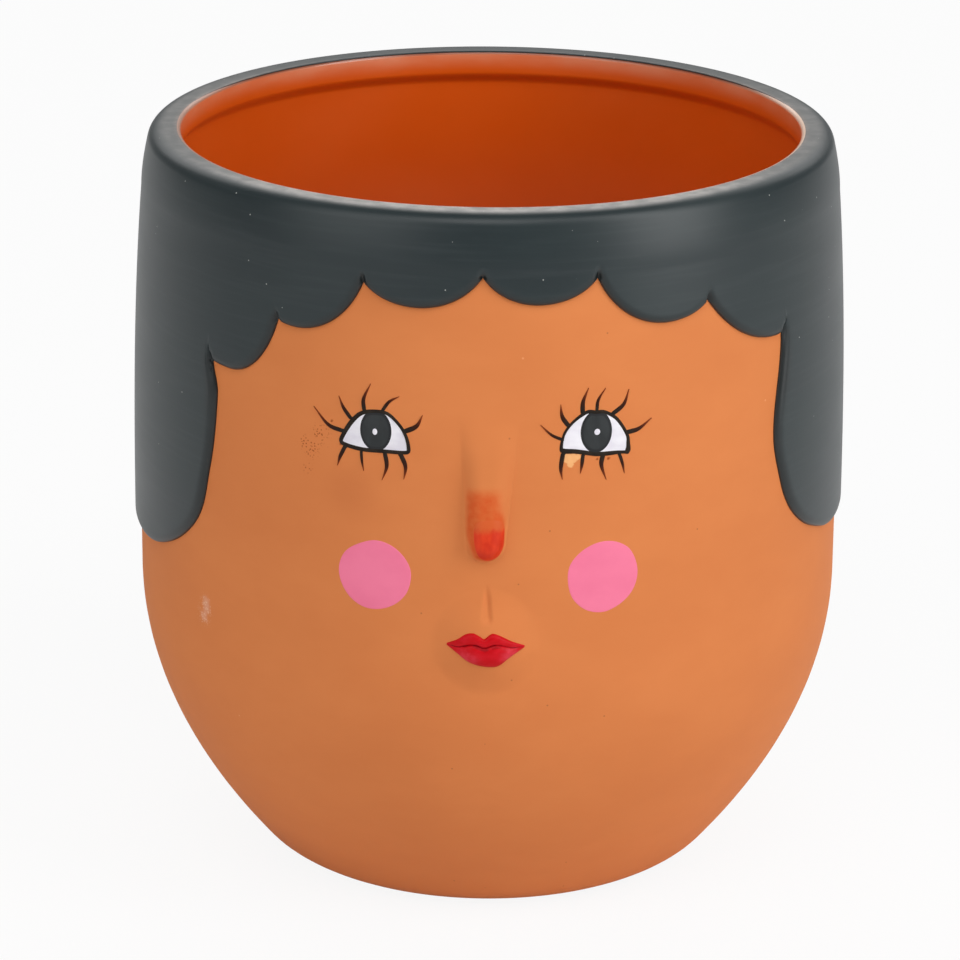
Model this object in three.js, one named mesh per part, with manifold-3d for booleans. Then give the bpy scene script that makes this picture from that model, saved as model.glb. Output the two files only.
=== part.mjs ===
// Ceramic planter cast and painted as a doll's head, with a removable drain plug.
// Millimetres, +Z up. The origin is on the pot's axis in the plane of its foot.
// The face looks along -Y, and left and right are as seen by someone who looks at it.
import * as THREE from 'three';
import { mergeVertices } from 'three/addons/utils/BufferGeometryUtils.js';
import Module from 'manifold-3d';

const wasm = await Module();
wasm.setup();

// Fineness of the facets
const TURN_SEGMENTS = 48;
const PLUG_SEGMENTS = 20;
const LOBE_STEPS = 4;
const LOCK_STEPS = 6;
const HAIR_ROWS = 4;
const BACK_LOBE_STEPS = 3;
const SLOPE_STEP = 0.01;
const FULL_TURN = 360; // degrees

// Cast body
const POT_HEIGHT = 155; // foot to the top of the painted rim
const BELLY_RADIUS = 73; // widest ring of the bare skin
const BELLY_HEIGHT = 61; // height of that ring
const FOOT_RADIUS = 45; // where the belly's curve would reach the ground
const FOOT_ROUND = 4.8; // rounding between belly and foot
const FOOT_RING_WIDTH = 6; // flat ring that the pot stands on
const FOOT_RECESS = 2; // hollow inside the foot ring
const RIM_RADIUS = 69.4; // where the bare skin's curve would reach the rim's top
const RIM_TAPER = 2.85; // power of the taper from belly to rim
const RIM_ROUND = 3.2; // outer rounding of the rim
const RIM_FLAT = 0.8; // least width of the rim's flat top
const WALL = 4; // wall under the collar
const FLOOR = 6; // floor above the recess
const FLOOR_FILLET = 9; // run of the curve between floor and wall
const COLLAR_STEP = 1.6; // how far, at least, the rim's inner collar stands in from the wall
const COLLAR_HEIGHT = 5.4; // collar, top to underside
const COLLAR_ROUND = 1.4; // rounding of the collar's two edges

// Layers on the body
const LAYER_GAP = 0.3; // clearance under each layer
const GLAZE = 0.6; // glaze inside the pot
const PAINT = 0.3; // painted layers of the face
const HAIR_RELIEF = 1.3; // hair above the skin
const HAIR_LIP = 0.7; // hair above the skin at its hem
const HAIR_EDGE = 1.6; // slope from the hem up to the full relief

// Hair hem: the azimuth in degrees of each lobe's lowest point and of the cusp at its right, with how far
// each hangs below the rim. The sweep is the share of a quarter turn that each side curves through, and a
// larger power gives a squarer lobe. The first and last lobes are the side locks.
const HAIR_LOBES = [
  { low: -79, drop: 82.5, cusp: -48, cuspDrop: 35.2, sweep: 0.98, power: 2.85, steps: LOCK_STEPS },
  { low: -44.5, drop: 36.3, cusp: -34.6, cuspDrop: 23.8, sweep: 0.72, power: 2 },
  { low: -31, drop: 24.7, cusp: -19.6, cuspDrop: 13.8, sweep: 0.72, power: 2 },
  { low: -11, drop: 18.2, cusp: -1, cuspDrop: 11.8, sweep: 0.68, power: 2 },
  { low: 7.8, drop: 17.5, cusp: 16.9, cuspDrop: 12.7, sweep: 0.68, power: 2 },
  { low: 28.8, drop: 23.3, cusp: 36.2, cuspDrop: 20.2, sweep: 0.72, power: 2 },
  { low: 49, drop: 31, cusp: 51.7, cuspDrop: 30, sweep: 0.5, power: 2 },
  { low: 79, drop: 79.6, cusp: 101, cuspDrop: 70, sweep: 0.98, power: 2.85, steps: LOCK_STEPS },
];
const BACK_LOBES = 7; // lobes round the back, between the two side locks
const BACK_DROP = 81; // their lowest points below the rim
const BACK_CUSP_DROP = 70; // their cusps below the rim
const BACK_SWEEP = 0.72;

// Face: places across are measured round the belly from the face's middle line
const EYE_DROP = 43.7; // eyes below the rim
const EYE_OUT_LEFT = 22.5;
const EYE_OUT_RIGHT = 21.5;
const EYE_WIDTH = 14.2; // corner to corner
const EYE_CORNER_DROP = 3; // corners below the eye's middle
const EYE_DOME = 6.9; // upper lid above the corners
const EYE_SAG = 0.9; // lower lid below the corners
const EYE_TILT = -3.5; // degrees
const EYE_LINE = 0.7; // width of the painted lid line
const LASH_ROOT = 0.8; // width of a lash where it leaves the lid
const LASH_TIP = 0.3;
const IRIS_WIDTH = 6.4;
const IRIS_HEIGHT = 7.6;
const HIGHLIGHT_SIZE = 1.3;
const CHEEK_BELOW_EYE = 29.6;
const CHEEK_OUT_LEFT = 22.5;
const CHEEK_OUT_RIGHT = 22.8;
const CHEEK_RADIUS = 7.4;
const MIDLINE_SHIFT = -0.7; // nose and mouth lie a little off the middle line
const NOSE_LENGTH = 25.5; // from the height of the eyes down to the tip
const NOSE_WIDTH = 10;
const NOSE_HEIGHT = 2.5; // crown of the nose above its edge
const NOSE_EDGE = 0.4; // thickness of the nose at its edge
const NOSE_CROWN = 0.24; // crown's place, as a share of the length from the tip
const NOSE_TIP_HEIGHT = 6; // red paint on the end of the nose
const NOSE_TIP_WIDTH = 5.4;
const MOUTH_BELOW_NOSE = 17.6; // nose tip to the line between the lips
const MOUTH_WIDTH = 15;
const UPPER_LIP = 2.6; // peaks of the upper lip above the line
const CUPID_DIP = 1; // dip between those peaks
const PEAK_OUT = 2; // each peak from the mouth's middle
const LOWER_LIP = 4.1; // lower lip below the line
const LIP_CROWN = 0.7; // swelling of the lips above their edges

// Lashes: root as a share of the half eye width, then the lash's run across and up and its sideways bow,
// each as a share of the usual lash length
const LASH_LENGTH = 5;
const LASHES_LEFT = {
  upper: [
    [-0.96, -1.22, 0.84, 0.2],
    [-0.72, -0.48, 0.9, 0.1],
    [-0.34, 0.3, 1.08, 0.14],
    [0.2, 0.66, 0.6, 0.1],
    [0.8, 0.72, 0.68, -0.2],
  ],
  lower: [
    [-0.89, -0.28, -0.86, -0.08],
    [-0.4, 0.12, -0.74, -0.02],
    [0.27, -0.14, -1.12, 0.12],
    [0.68, 0.14, -0.94, 0.14],
  ],
};
const LASHES_RIGHT = {
  upper: [
    [-0.95, -0.86, 0.62, 0.08],
    [-0.82, -0.24, 0.84, 0.08],
    [-0.42, 0.28, 0.98, 0.12],
    [-0.01, 0.38, 0.88, 0.1],
    [0.47, 0.62, 0.9, -0.18],
    [0.9, 1, 0.48, -0.1],
  ],
  lower: [
    [-0.93, -0.02, -0.98, -0.08],
    [-0.38, -0.12, -0.66, 0.02],
    [0.16, 0.14, -1.02, -0.12],
    [0.64, 0.22, -0.82, 0],
  ],
};

// Drain plug
const DRAIN_RADIUS = 6.5;
const PLUG_CLEARANCE = 0.3; // stem to the drain hole
const PLUG_TAPER = 0.8; // stem narrows by this towards its lower end
const PLUG_TAIL = 0.8; // stem below the floor, inside the recess
const PLUG_FLANGE = 3.6; // flange past the edge of the drain hole
const PLUG_FLANGE_HEIGHT = 2;
const PLUG_NECK_RADIUS = 2.6;
const PLUG_NECK_HEIGHT = 3.2;
const PLUG_KNOB_RADIUS = 4.6;
const PLUG_KNOB_HEIGHT = 3;

// Heights that several pieces share
const RIM_TOP = POT_HEIGHT - HAIR_RELIEF;
const WALL_TOP = RIM_TOP - RIM_ROUND;
const COLLAR_BOTTOM = RIM_TOP - COLLAR_HEIGHT;
const FLOOR_TOP = FOOT_RECESS + FLOOR;
const EYE_Z = POT_HEIGHT - EYE_DROP;
const NOSE_TIP_Z = EYE_Z - NOSE_LENGTH;
const MOUTH_Z = NOSE_TIP_Z - MOUTH_BELOW_NOSE;
const CHEEK_Z = EYE_Z - CHEEK_BELOW_EYE;
const PAINT_BASE = LAYER_GAP;
const PAINT_TOP = PAINT_BASE + PAINT;

const vector = (x, y) => new THREE.Vector2(x, y);

// Radius of the bare skin: a parabola up to the belly, then a slow taper to the rim.
function skinRadius(z) {
  if (z < BELLY_HEIGHT) {
    return BELLY_RADIUS - (BELLY_RADIUS - FOOT_RADIUS) * (1 - z / BELLY_HEIGHT) ** 2;
  }
  const rise = (z - BELLY_HEIGHT) / (POT_HEIGHT - BELLY_HEIGHT);
  return BELLY_RADIUS - (BELLY_RADIUS - RIM_RADIUS) * rise ** RIM_TAPER;
}

function skinSlope(z) {
  return (skinRadius(z + SLOPE_STEP) - skinRadius(z - SLOPE_STEP)) / (2 * SLOPE_STEP);
}

// Profile point (radius, height) at a height on the skin, lifted along the skin's normal.
function skinPoint(z, lift) {
  const normal = vector(1, -skinSlope(z)).normalize();
  return vector(skinRadius(z), z).addScaledVector(normal, lift);
}

// Point in space over a place on the face: across the belly, up from the foot, and lifted off the skin.
function onSkin(place, lift) {
  const profile = skinPoint(place.y, lift);
  const angle = place.x / BELLY_RADIUS;
  return new THREE.Vector3(profile.x * Math.sin(angle), -profile.x * Math.cos(angle), profile.y);
}

function spread(from, to, steps) {
  return Array.from({ length: steps + 1 }, (_, i) => from + ((to - from) * i) / steps);
}

function arc(centre, radius, fromDegrees, toDegrees, steps) {
  return spread(fromDegrees, toDegrees, steps).map((degrees) => {
    const angle = THREE.MathUtils.degToRad(degrees);
    return vector(centre.x + radius * Math.cos(angle), centre.y + radius * Math.sin(angle));
  });
}

// Flat path moved to its right by a distance, with mitred corners.
function offsetPath(path, distance, closed = false) {
  const last = path.length - 1;
  return path.map((point, i) => {
    const before = i > 0 ? path[i - 1] : path[closed ? last : 0];
    const after = i < last ? path[i + 1] : path[closed ? 0 : last];
    const sides = [[before, point], [point, after]]
      .map(([from, to]) => to.clone().sub(from))
      .filter((run) => run.lengthSq() > 0)
      .map((run) => vector(run.y, -run.x).normalize());
    const mitre = sides[0].clone().add(sides.at(-1)).normalize();
    return point.clone().addScaledVector(mitre, distance / mitre.dot(sides[0]));
  });
}

// Closed profile turned about the pot's axis.
function turned(profile, segments) {
  return new THREE.LatheGeometry(profile, segments).rotateX(Math.PI / 2);
}

// Closed surface through sections with equal numbers of corners.
// A ring of sections joins up with itself, and a row is closed by a fan at each end.
function loft(sections, ring) {
  const corners = sections[0].length;
  const points = sections.flat();
  const triangles = [];
  const spans = ring ? sections.length : sections.length - 1;
  for (let s = 0; s < spans; s += 1) {
    const here = s * corners;
    const next = ((s + 1) % sections.length) * corners;
    for (let c = 0; c < corners; c += 1) {
      const d = (c + 1) % corners;
      triangles.push(here + c, next + c, next + d);
      triangles.push(here + c, next + d, here + d);
    }
  }
  if (!ring) {
    const endStart = (sections.length - 1) * corners;
    const middles = [sections[0], sections.at(-1)].map((section) => {
      const sum = section.reduce((total, point) => total.add(point), new THREE.Vector3());
      return points.push(sum.divideScalar(corners)) - 1;
    });
    for (let c = 0; c < corners; c += 1) {
      const d = (c + 1) % corners;
      triangles.push(middles[0], c, d);
      triangles.push(middles[1], endStart + d, endStart + c);
    }
  }
  return new THREE.BufferGeometry().setFromPoints(points).setIndex(triangles);
}

function toSolid(geometry) {
  const bare = geometry.clone();
  bare.deleteAttribute('normal');
  bare.deleteAttribute('uv');
  const merged = mergeVertices(bare);
  const vertProperties = new Float32Array(merged.attributes.position.array);
  const triVerts = new Uint32Array(merged.index.array);
  return new wasm.Manifold(new wasm.Mesh({ numProp: 3, vertProperties, triVerts }));
}

function union(geometries) {
  const mesh = geometries.map(toSolid).reduce((whole, piece) => whole.add(piece)).getMesh();
  const geometry = new THREE.BufferGeometry();
  geometry.setAttribute('position', new THREE.BufferAttribute(mesh.vertProperties, mesh.numProp));
  return geometry.setIndex(new THREE.BufferAttribute(mesh.triVerts, 1));
}

// Shell on the skin inside an outline that every ray from its middle crosses once.
// Its underside follows the skin, and its top follows a lift that depends on the place and on the
// reach from the middle (0) to the outline (1).
function skinPatch(middle, outline, rings, base, topLift) {
  const reaches = spread(0, 1, rings).slice(1);
  const ring = (reach, lift) => outline.map((edge) => {
    const place = middle.clone().lerp(edge, reach);
    return onSkin(place, lift(place, reach));
  });
  const top = reaches.map((reach) => ring(reach, topLift));
  const underside = reaches.map((reach) => ring(reach, base)).reverse();
  return loft([...top, ...underside], false);
}

// Four-cornered section of a painted line, between two places on the skin.
function lineSection(left, right) {
  return [
    onSkin(left, PAINT_BASE),
    onSkin(right, PAINT_BASE),
    onSkin(right, PAINT_TOP),
    onSkin(left, PAINT_TOP),
  ];
}

function ellipse(centre, width, height, steps) {
  return spread(0, 2 * Math.PI, steps).slice(0, -1).map((angle) => (
    vector(centre.x + (width / 2) * Math.cos(angle), centre.y + (height / 2) * Math.sin(angle))
  ));
}

// Inside of the body, from the top of the collar down to the drain hole.
const wallUnderCollar = skinPoint(COLLAR_BOTTOM, -WALL);
const rimCentre = vector(skinRadius(WALL_TOP) - RIM_ROUND, WALL_TOP);
const collarRadius = Math.min(wallUnderCollar.x - COLLAR_STEP, rimCentre.x - RIM_FLAT - COLLAR_ROUND);
const collarEnd = collarRadius + COLLAR_ROUND;
const collarStep = wallUnderCollar.x - collarRadius;
const underRound = Math.min(COLLAR_ROUND, collarStep - LAYER_GAP - GLAZE); // leaves the glaze its corner
const filletTop = FLOOR_TOP + FLOOR_FILLET / 2;
const filletStart = skinPoint(filletTop, -WALL);
const filletCorner = vector(filletStart.x - skinSlope(filletTop) * (filletStart.y - FLOOR_TOP), FLOOR_TOP);
const filletEnd = vector(filletCorner.x - FLOOR_FILLET, FLOOR_TOP);
const insidePath = [
  ...arc(vector(collarEnd, RIM_TOP - COLLAR_ROUND), COLLAR_ROUND, 90, 180, 2),
  ...arc(vector(collarRadius + underRound, COLLAR_BOTTOM + underRound), underRound, 180, 270, 2),
  ...spread(wallUnderCollar.y, BELLY_HEIGHT, 2).map((z) => skinPoint(z, -WALL)),
  ...spread(BELLY_HEIGHT, filletTop, 4).slice(1, -1).map((z) => skinPoint(z, -WALL)),
  ...new THREE.QuadraticBezierCurve(filletStart, filletCorner, filletEnd).getPoints(2),
  vector(DRAIN_RADIUS, FLOOR_TOP),
];

function potBody() {
  const footFlat = FOOT_RADIUS - FOOT_ROUND;
  const footEdge = spread(0, Math.PI / 2, 3).map((angle) => {
    const z = FOOT_ROUND * (1 - Math.cos(angle));
    return vector(skinRadius(z) - FOOT_ROUND * (1 - Math.sin(angle)), z);
  });
  const profile = [
    ...footEdge,
    ...spread(FOOT_ROUND, BELLY_HEIGHT, 5).slice(1).map((z) => skinPoint(z, 0)),
    ...spread(BELLY_HEIGHT, WALL_TOP, 6).slice(1, -1).map((z) => skinPoint(z, 0)),
    ...arc(rimCentre, RIM_ROUND, 0, 90, 2),
    ...insidePath,
    vector(DRAIN_RADIUS, FOOT_RECESS),
    vector(footFlat - FOOT_RING_WIDTH, FOOT_RECESS),
    vector(footFlat - FOOT_RING_WIDTH, 0),
    vector(footFlat, 0),
  ];
  return turned(profile, TURN_SEGMENTS);
}

function glazeLining() {
  const outer = offsetPath(insidePath, LAYER_GAP);
  const inner = offsetPath(insidePath, LAYER_GAP + GLAZE);
  return turned([...inner, ...outer.reverse(), inner[0].clone()], TURN_SEGMENTS);
}

// One side of a lobe, from its lowest point (share 0) to a cusp (share 1).
function lobeSide(lobe, cuspAngle, cuspDrop, share) {
  const end = (lobe.sweep * Math.PI) / 2;
  const across = Math.sin(end * share);
  const rise = (x) => 1 - (1 - x ** lobe.power) ** (1 / lobe.power);
  const angle = lobe.low + ((cuspAngle - lobe.low) * across) / Math.sin(end);
  const drop = lobe.drop + ((cuspDrop - lobe.drop) * rise(across)) / rise(Math.sin(end));
  return { angle: THREE.MathUtils.degToRad(angle), z: POT_HEIGHT - drop };
}

function hemPoints() {
  const backStart = HAIR_LOBES.at(-1).cusp;
  const backEnd = FULL_TURN - backStart;
  const pitch = (backEnd - backStart) / BACK_LOBES;
  const back = Array.from({ length: BACK_LOBES }, (_, i) => ({
    low: backStart + pitch * (i + 0.5),
    drop: BACK_DROP,
    cusp: backStart + pitch * (i + 1),
    cuspDrop: BACK_CUSP_DROP,
    sweep: BACK_SWEEP,
    power: 2,
    steps: BACK_LOBE_STEPS,
  }));
  let before = { cusp: -backStart, cuspDrop: BACK_CUSP_DROP };
  return [...HAIR_LOBES, ...back].flatMap((lobe) => {
    const steps = lobe.steps ?? LOBE_STEPS;
    const falling = spread(1, 0, steps).slice(0, -1);
    const rising = spread(0, 1, steps).slice(0, -1);
    const points = [
      ...falling.map((share) => lobeSide(lobe, before.cusp, before.cuspDrop, share)),
      ...rising.map((share) => lobeSide(lobe, lobe.cusp, lobe.cuspDrop, share)),
    ];
    before = lobe;
    return points;
  });
}

// Hair: a shell from its scalloped hem up over the rim, as far as the glaze.
function hair() {
  const end = collarEnd + LAYER_GAP;
  const sections = hemPoints().map(({ angle, z }) => {
    const heights = spread(z + HAIR_EDGE, WALL_TOP, HAIR_ROWS);
    const under = [
      skinPoint(z, LAYER_GAP),
      ...heights.slice(0, -1).map((height) => skinPoint(height, LAYER_GAP)),
      ...arc(rimCentre, RIM_ROUND + LAYER_GAP, 0, 90, 2),
      vector(end, RIM_TOP + LAYER_GAP),
    ];
    const over = [
      skinPoint(z, HAIR_LIP),
      ...heights.slice(0, -1).map((height) => skinPoint(height, HAIR_RELIEF)),
      ...arc(rimCentre, RIM_ROUND + HAIR_RELIEF, 0, 90, 2),
      vector(end, POT_HEIGHT),
    ];
    return [...over, ...under.reverse()].map((point) => (
      new THREE.Vector3(point.x * Math.sin(angle), -point.x * Math.cos(angle), point.y)
    ));
  });
  return loft(sections, true);
}

// Nose: an oval mound whose crown is near its lower end.
const noseCrown = vector(MIDLINE_SHIFT, NOSE_TIP_Z + NOSE_CROWN * NOSE_LENGTH);
const noseMiddle = vector(MIDLINE_SHIFT, NOSE_TIP_Z + NOSE_LENGTH / 2);

// Share of the way from the nose's crown to its oval edge at a place inside it.
function noseReach(place) {
  const halves = vector(NOSE_WIDTH / 2, NOSE_LENGTH / 2);
  const from = noseCrown.clone().sub(noseMiddle).divide(halves);
  const run = place.clone().sub(noseCrown).divide(halves);
  const along = from.dot(run);
  const gap = 1 - from.lengthSq();
  return run.lengthSq() / (Math.sqrt(along ** 2 + run.lengthSq() * gap) - along || 1);
}

function noseLift(place) {
  return LAYER_GAP + NOSE_EDGE + NOSE_HEIGHT * (1 - Math.min(noseReach(place), 1) ** 2);
}

function nose() {
  const outline = ellipse(noseMiddle, NOSE_WIDTH, NOSE_LENGTH, 24);
  return skinPatch(noseCrown, outline, 5, () => LAYER_GAP, noseLift);
}

function noseTip() {
  const middle = vector(MIDLINE_SHIFT, NOSE_TIP_Z + NOSE_TIP_HEIGHT / 2 + LAYER_GAP);
  const outline = ellipse(middle, NOSE_TIP_WIDTH, NOSE_TIP_HEIGHT, 16);
  const base = (place) => noseLift(place) + LAYER_GAP;
  return skinPatch(middle, outline, 4, base, (place) => base(place) + PAINT);
}

// Lips: two swellings that meet along a level line.
const mouth = vector(MIDLINE_SHIFT, MOUTH_Z);

function lip(outline, middleRise) {
  const middle = vector(mouth.x, mouth.y + middleRise);
  const crown = (place, reach) => PAINT_TOP + LIP_CROWN * (1 - reach ** 2);
  return skinPatch(middle, outline, 3, () => PAINT_BASE, crown);
}

function upperLip() {
  const corner = MOUTH_WIDTH / 2;
  const line = LAYER_GAP / 2;
  const half = new THREE.SplineCurve([
    vector(corner, line + LAYER_GAP),
    vector((corner + PEAK_OUT) / 2, UPPER_LIP * 0.68),
    vector(PEAK_OUT, UPPER_LIP),
    vector(0, UPPER_LIP - CUPID_DIP),
  ]).getPoints(9);
  const mirrored = half.slice(0, -1).reverse().map((point) => vector(-point.x, point.y));
  const underside = spread(-corner, corner, 10).slice(1, -1).map((x) => vector(x, line));
  const outline = [...half, ...mirrored, ...underside].map((point) => point.add(mouth));
  return lip(outline, (UPPER_LIP - CUPID_DIP + line) / 2);
}

function lowerLip() {
  const corner = MOUTH_WIDTH / 2 - LAYER_GAP;
  const line = -LAYER_GAP / 2;
  const bottom = new THREE.SplineCurve([
    vector(-corner, line - LAYER_GAP),
    vector(-corner * 0.45, line - LOWER_LIP * 0.74),
    vector(0, -LOWER_LIP),
    vector(corner * 0.45, line - LOWER_LIP * 0.74),
    vector(corner, line - LAYER_GAP),
  ]).getPoints(16);
  const topside = spread(corner, -corner, 10).slice(1, -1).map((x) => vector(x, line));
  const outline = [...bottom, ...topside].map((point) => point.add(mouth));
  return lip(outline, (line - LOWER_LIP) / 2);
}

// Height of the upper or lower lid over the eye's middle, at a share of the half eye width.
function lidHeight(share, upper) {
  const bulge = Math.max(1 - share ** 2, 0);
  return (upper ? EYE_DOME * bulge ** 0.7 : -EYE_SAG * bulge) - EYE_CORNER_DROP;
}

function eyePlace(middle, x, y) {
  const tilt = THREE.MathUtils.degToRad(EYE_TILT);
  return vector(x, y).rotateAround(vector(0, 0), tilt).add(middle);
}

// Inner edge of the lid line, anticlockwise.
function lidLoop(middle) {
  const half = EYE_WIDTH / 2;
  const shares = spread(0, Math.PI, 10).map(Math.cos);
  const upper = shares.map((share) => eyePlace(middle, half * share, lidHeight(share, true)));
  const lower = shares.slice(1, -1).reverse()
    .map((share) => eyePlace(middle, half * share, lidHeight(share, false)));
  return [...upper, ...lower];
}

function eyeWhite(middle) {
  const outline = offsetPath(lidLoop(middle), -LAYER_GAP, true);
  return skinPatch(middle, outline, 3, () => PAINT_BASE, () => PAINT_TOP);
}

function lash(middle, [share, across, up, bow], upper) {
  const root = eyePlace(middle, (EYE_WIDTH / 2) * share, lidHeight(share, upper));
  const run = vector(across, up).multiplyScalar(LASH_LENGTH);
  const side = vector(-up, across).normalize();
  const bend = root.clone().addScaledVector(run, 0.5).addScaledVector(side, 2 * bow * LASH_LENGTH);
  const start = root.clone().lerp(middle, EYE_LINE / 4 / root.distanceTo(middle));
  const path = new THREE.QuadraticBezierCurve(start, bend, root.clone().add(run)).getPoints(3);
  const sections = path.map((point, i) => {
    const before = path[Math.max(i - 1, 0)];
    const after = path[Math.min(i + 1, path.length - 1)];
    const along = after.clone().sub(before).normalize();
    const width = LASH_ROOT + ((LASH_TIP - LASH_ROOT) * i) / (path.length - 1);
    const across = vector(-along.y, along.x).multiplyScalar(width / 2);
    return lineSection(point.clone().add(across), point.clone().sub(across));
  });
  return loft(sections, false);
}

// Lid line with its lashes.
function eyeLine(middle, lashes) {
  const inner = lidLoop(middle);
  const outer = offsetPath(inner, EYE_LINE, true);
  const line = loft(inner.map((point, i) => lineSection(point, outer[i])), true);
  const strokes = ['upper', 'lower'].flatMap((lid) => (
    lashes[lid].map((shape) => lash(middle, shape, lid === 'upper'))
  ));
  return union([line, ...strokes]);
}

// Oval of paint on top of a number of layers already on the skin.
function paintedOval(middle, width, height, layersBelow, steps, rings) {
  const base = PAINT_BASE + layersBelow * (PAINT + LAYER_GAP);
  return skinPatch(middle, ellipse(middle, width, height, steps), rings, () => base, () => base + PAINT);
}

// Drain plug: a tapered stem in the drain hole, a flange on the glazed floor and a knob to pull it by.
function drainPlug() {
  const seat = FLOOR_TOP + LAYER_GAP + GLAZE + LAYER_GAP;
  const stem = DRAIN_RADIUS - PLUG_CLEARANCE;
  const flange = DRAIN_RADIUS + PLUG_FLANGE;
  const neckBase = seat + PLUG_FLANGE_HEIGHT;
  const knobBase = neckBase + PLUG_NECK_HEIGHT;
  const knobTop = knobBase + PLUG_KNOB_HEIGHT;
  const profile = [
    vector(0, FOOT_RECESS - PLUG_TAIL),
    vector(stem - PLUG_TAPER, FOOT_RECESS - PLUG_TAIL),
    vector(stem, seat),
    vector(flange, seat),
    vector(flange, neckBase - PLUG_FLANGE_HEIGHT / 3),
    vector(flange - PLUG_FLANGE_HEIGHT / 3, neckBase),
    vector(PLUG_NECK_RADIUS, neckBase),
    vector(PLUG_NECK_RADIUS, knobBase),
    ...arc(vector(0, 0), 1, -60, 90, 6).map((point) => (
      vector(
        Math.max(point.x, 0) * PLUG_KNOB_RADIUS,
        knobBase + ((point.y + 1) / 2) * (knobTop - knobBase),
      )
    )),
  ];
  return turned(profile, PLUG_SEGMENTS);
}

const terracotta = { color: 0xc8743a, roughness: 0.75, metalness: 0 };
const slate = { color: 0x2b363b, roughness: 0.7, metalness: 0 };
const ink = { color: 0x23292d, roughness: 0.5, metalness: 0 };
const white = { color: 0xf1eff6, roughness: 0.5, metalness: 0 };
const pink = { color: 0xf072b4, roughness: 0.6, metalness: 0 };
const lipRed = { color: 0xb81f2f, roughness: 0.45, metalness: 0 };
const noseRed = { color: 0xcc3a1c, roughness: 0.55, metalness: 0 };
const glaze = { color: 0xb8480f, roughness: 0.15, metalness: 0 };
const rubber = { color: 0x4a4643, roughness: 0.8, metalness: 0 };

const planter = new THREE.Group();

function addPiece(name, geometry, finish) {
  const piece = new THREE.Mesh(geometry, new THREE.MeshStandardMaterial(finish));
  piece.name = name;
  planter.add(piece);
}

addPiece('pot_body', potBody(), terracotta);
addPiece('glaze_lining', glazeLining(), glaze);
addPiece('hair', hair(), slate);
addPiece('nose', nose(), terracotta);
addPiece('nose_tip', noseTip(), noseRed);
addPiece('upper_lip', upperLip(), lipRed);
addPiece('lower_lip', lowerLip(), lipRed);

const sides = [
  { side: 'left', eye: -EYE_OUT_LEFT, cheek: -CHEEK_OUT_LEFT, lashes: LASHES_LEFT },
  { side: 'right', eye: EYE_OUT_RIGHT, cheek: CHEEK_OUT_RIGHT, lashes: LASHES_RIGHT },
];
for (const { side, eye, cheek, lashes } of sides) {
  const eyeMiddle = vector(eye, EYE_Z);
  addPiece(`eye_white_${side}`, eyeWhite(eyeMiddle), white);
  addPiece(`eye_line_${side}`, eyeLine(eyeMiddle, lashes), ink);
  addPiece(`iris_${side}`, paintedOval(eyeMiddle, IRIS_WIDTH, IRIS_HEIGHT, 1, 20, 2), ink);
  addPiece(`eye_highlight_${side}`, paintedOval(eyeMiddle, HIGHLIGHT_SIZE, HIGHLIGHT_SIZE, 2, 8, 1), white);
  const cheekMiddle = vector(cheek, CHEEK_Z);
  addPiece(`cheek_${side}`, paintedOval(cheekMiddle, 2 * CHEEK_RADIUS, 2 * CHEEK_RADIUS, 0, 28, 2), pink);
}

addPiece('drain_plug', drainPlug(), rubber);

export default planter;
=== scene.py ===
"""Looks of a ceramic planter with a painted doll-like face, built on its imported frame.

Lengths are in millimetres until a mesh is made, where MM turns them into metres.
The pot stands on the Z axis with its face towards -Y, and left and right are as the camera sees them.
A place on the skin is (u, z): u runs round the belly from the face's middle line, z up from the foot.
"""
import math

import bpy
import numpy as np
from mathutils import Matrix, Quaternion, Vector


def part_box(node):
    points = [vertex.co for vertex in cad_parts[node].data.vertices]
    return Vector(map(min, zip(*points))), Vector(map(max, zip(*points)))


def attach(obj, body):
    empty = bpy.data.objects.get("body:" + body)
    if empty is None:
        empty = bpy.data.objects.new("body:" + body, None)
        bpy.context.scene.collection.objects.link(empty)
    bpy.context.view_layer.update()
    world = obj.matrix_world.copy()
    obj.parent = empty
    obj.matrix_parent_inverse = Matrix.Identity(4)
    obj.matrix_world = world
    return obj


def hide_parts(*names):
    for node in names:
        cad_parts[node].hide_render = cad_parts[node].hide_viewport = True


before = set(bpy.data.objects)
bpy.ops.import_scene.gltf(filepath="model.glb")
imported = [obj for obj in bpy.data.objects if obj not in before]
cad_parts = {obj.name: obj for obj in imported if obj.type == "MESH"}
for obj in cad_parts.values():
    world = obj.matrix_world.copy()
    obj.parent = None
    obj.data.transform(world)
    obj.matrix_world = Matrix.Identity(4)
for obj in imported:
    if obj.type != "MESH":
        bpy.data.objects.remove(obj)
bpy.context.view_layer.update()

MM = 0.001

# Cast body
POT_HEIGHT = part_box("hair")[1][2] / MM
BELLY_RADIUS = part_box("pot_body")[1][0] / MM
BELLY_HEIGHT = 61.0
FOOT_RADIUS = 45.0
FOOT_ROUND = 4.8
FOOT_RING_WIDTH = 6.0
FOOT_RECESS = 2.0
RIM_RADIUS = 69.4
RIM_TAPER = 2.85
RIM_ROUND = 3.2
RIM_FLAT = 0.8
WALL = 4.0
FLOOR_TOP = 8.0
FLOOR_FILLET = 9.0
FILLET_TOP = FLOOR_TOP + FLOOR_FILLET / 2
FILLET_INSET = 6.0
STEP_GAP = 1.5
COLLAR_STEP = 1.6
COLLAR_HEIGHT = 5.4
COLLAR_ROUND = 1.4
DRAIN_RADIUS = 6.5
SMALL_EDGE = 0.6
RECESS_EDGE = 0.8
RIM_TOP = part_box("pot_body")[1][2] / MM
WALL_TOP = RIM_TOP - RIM_ROUND
COLLAR_BOTTOM = RIM_TOP - COLLAR_HEIGHT

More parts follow.
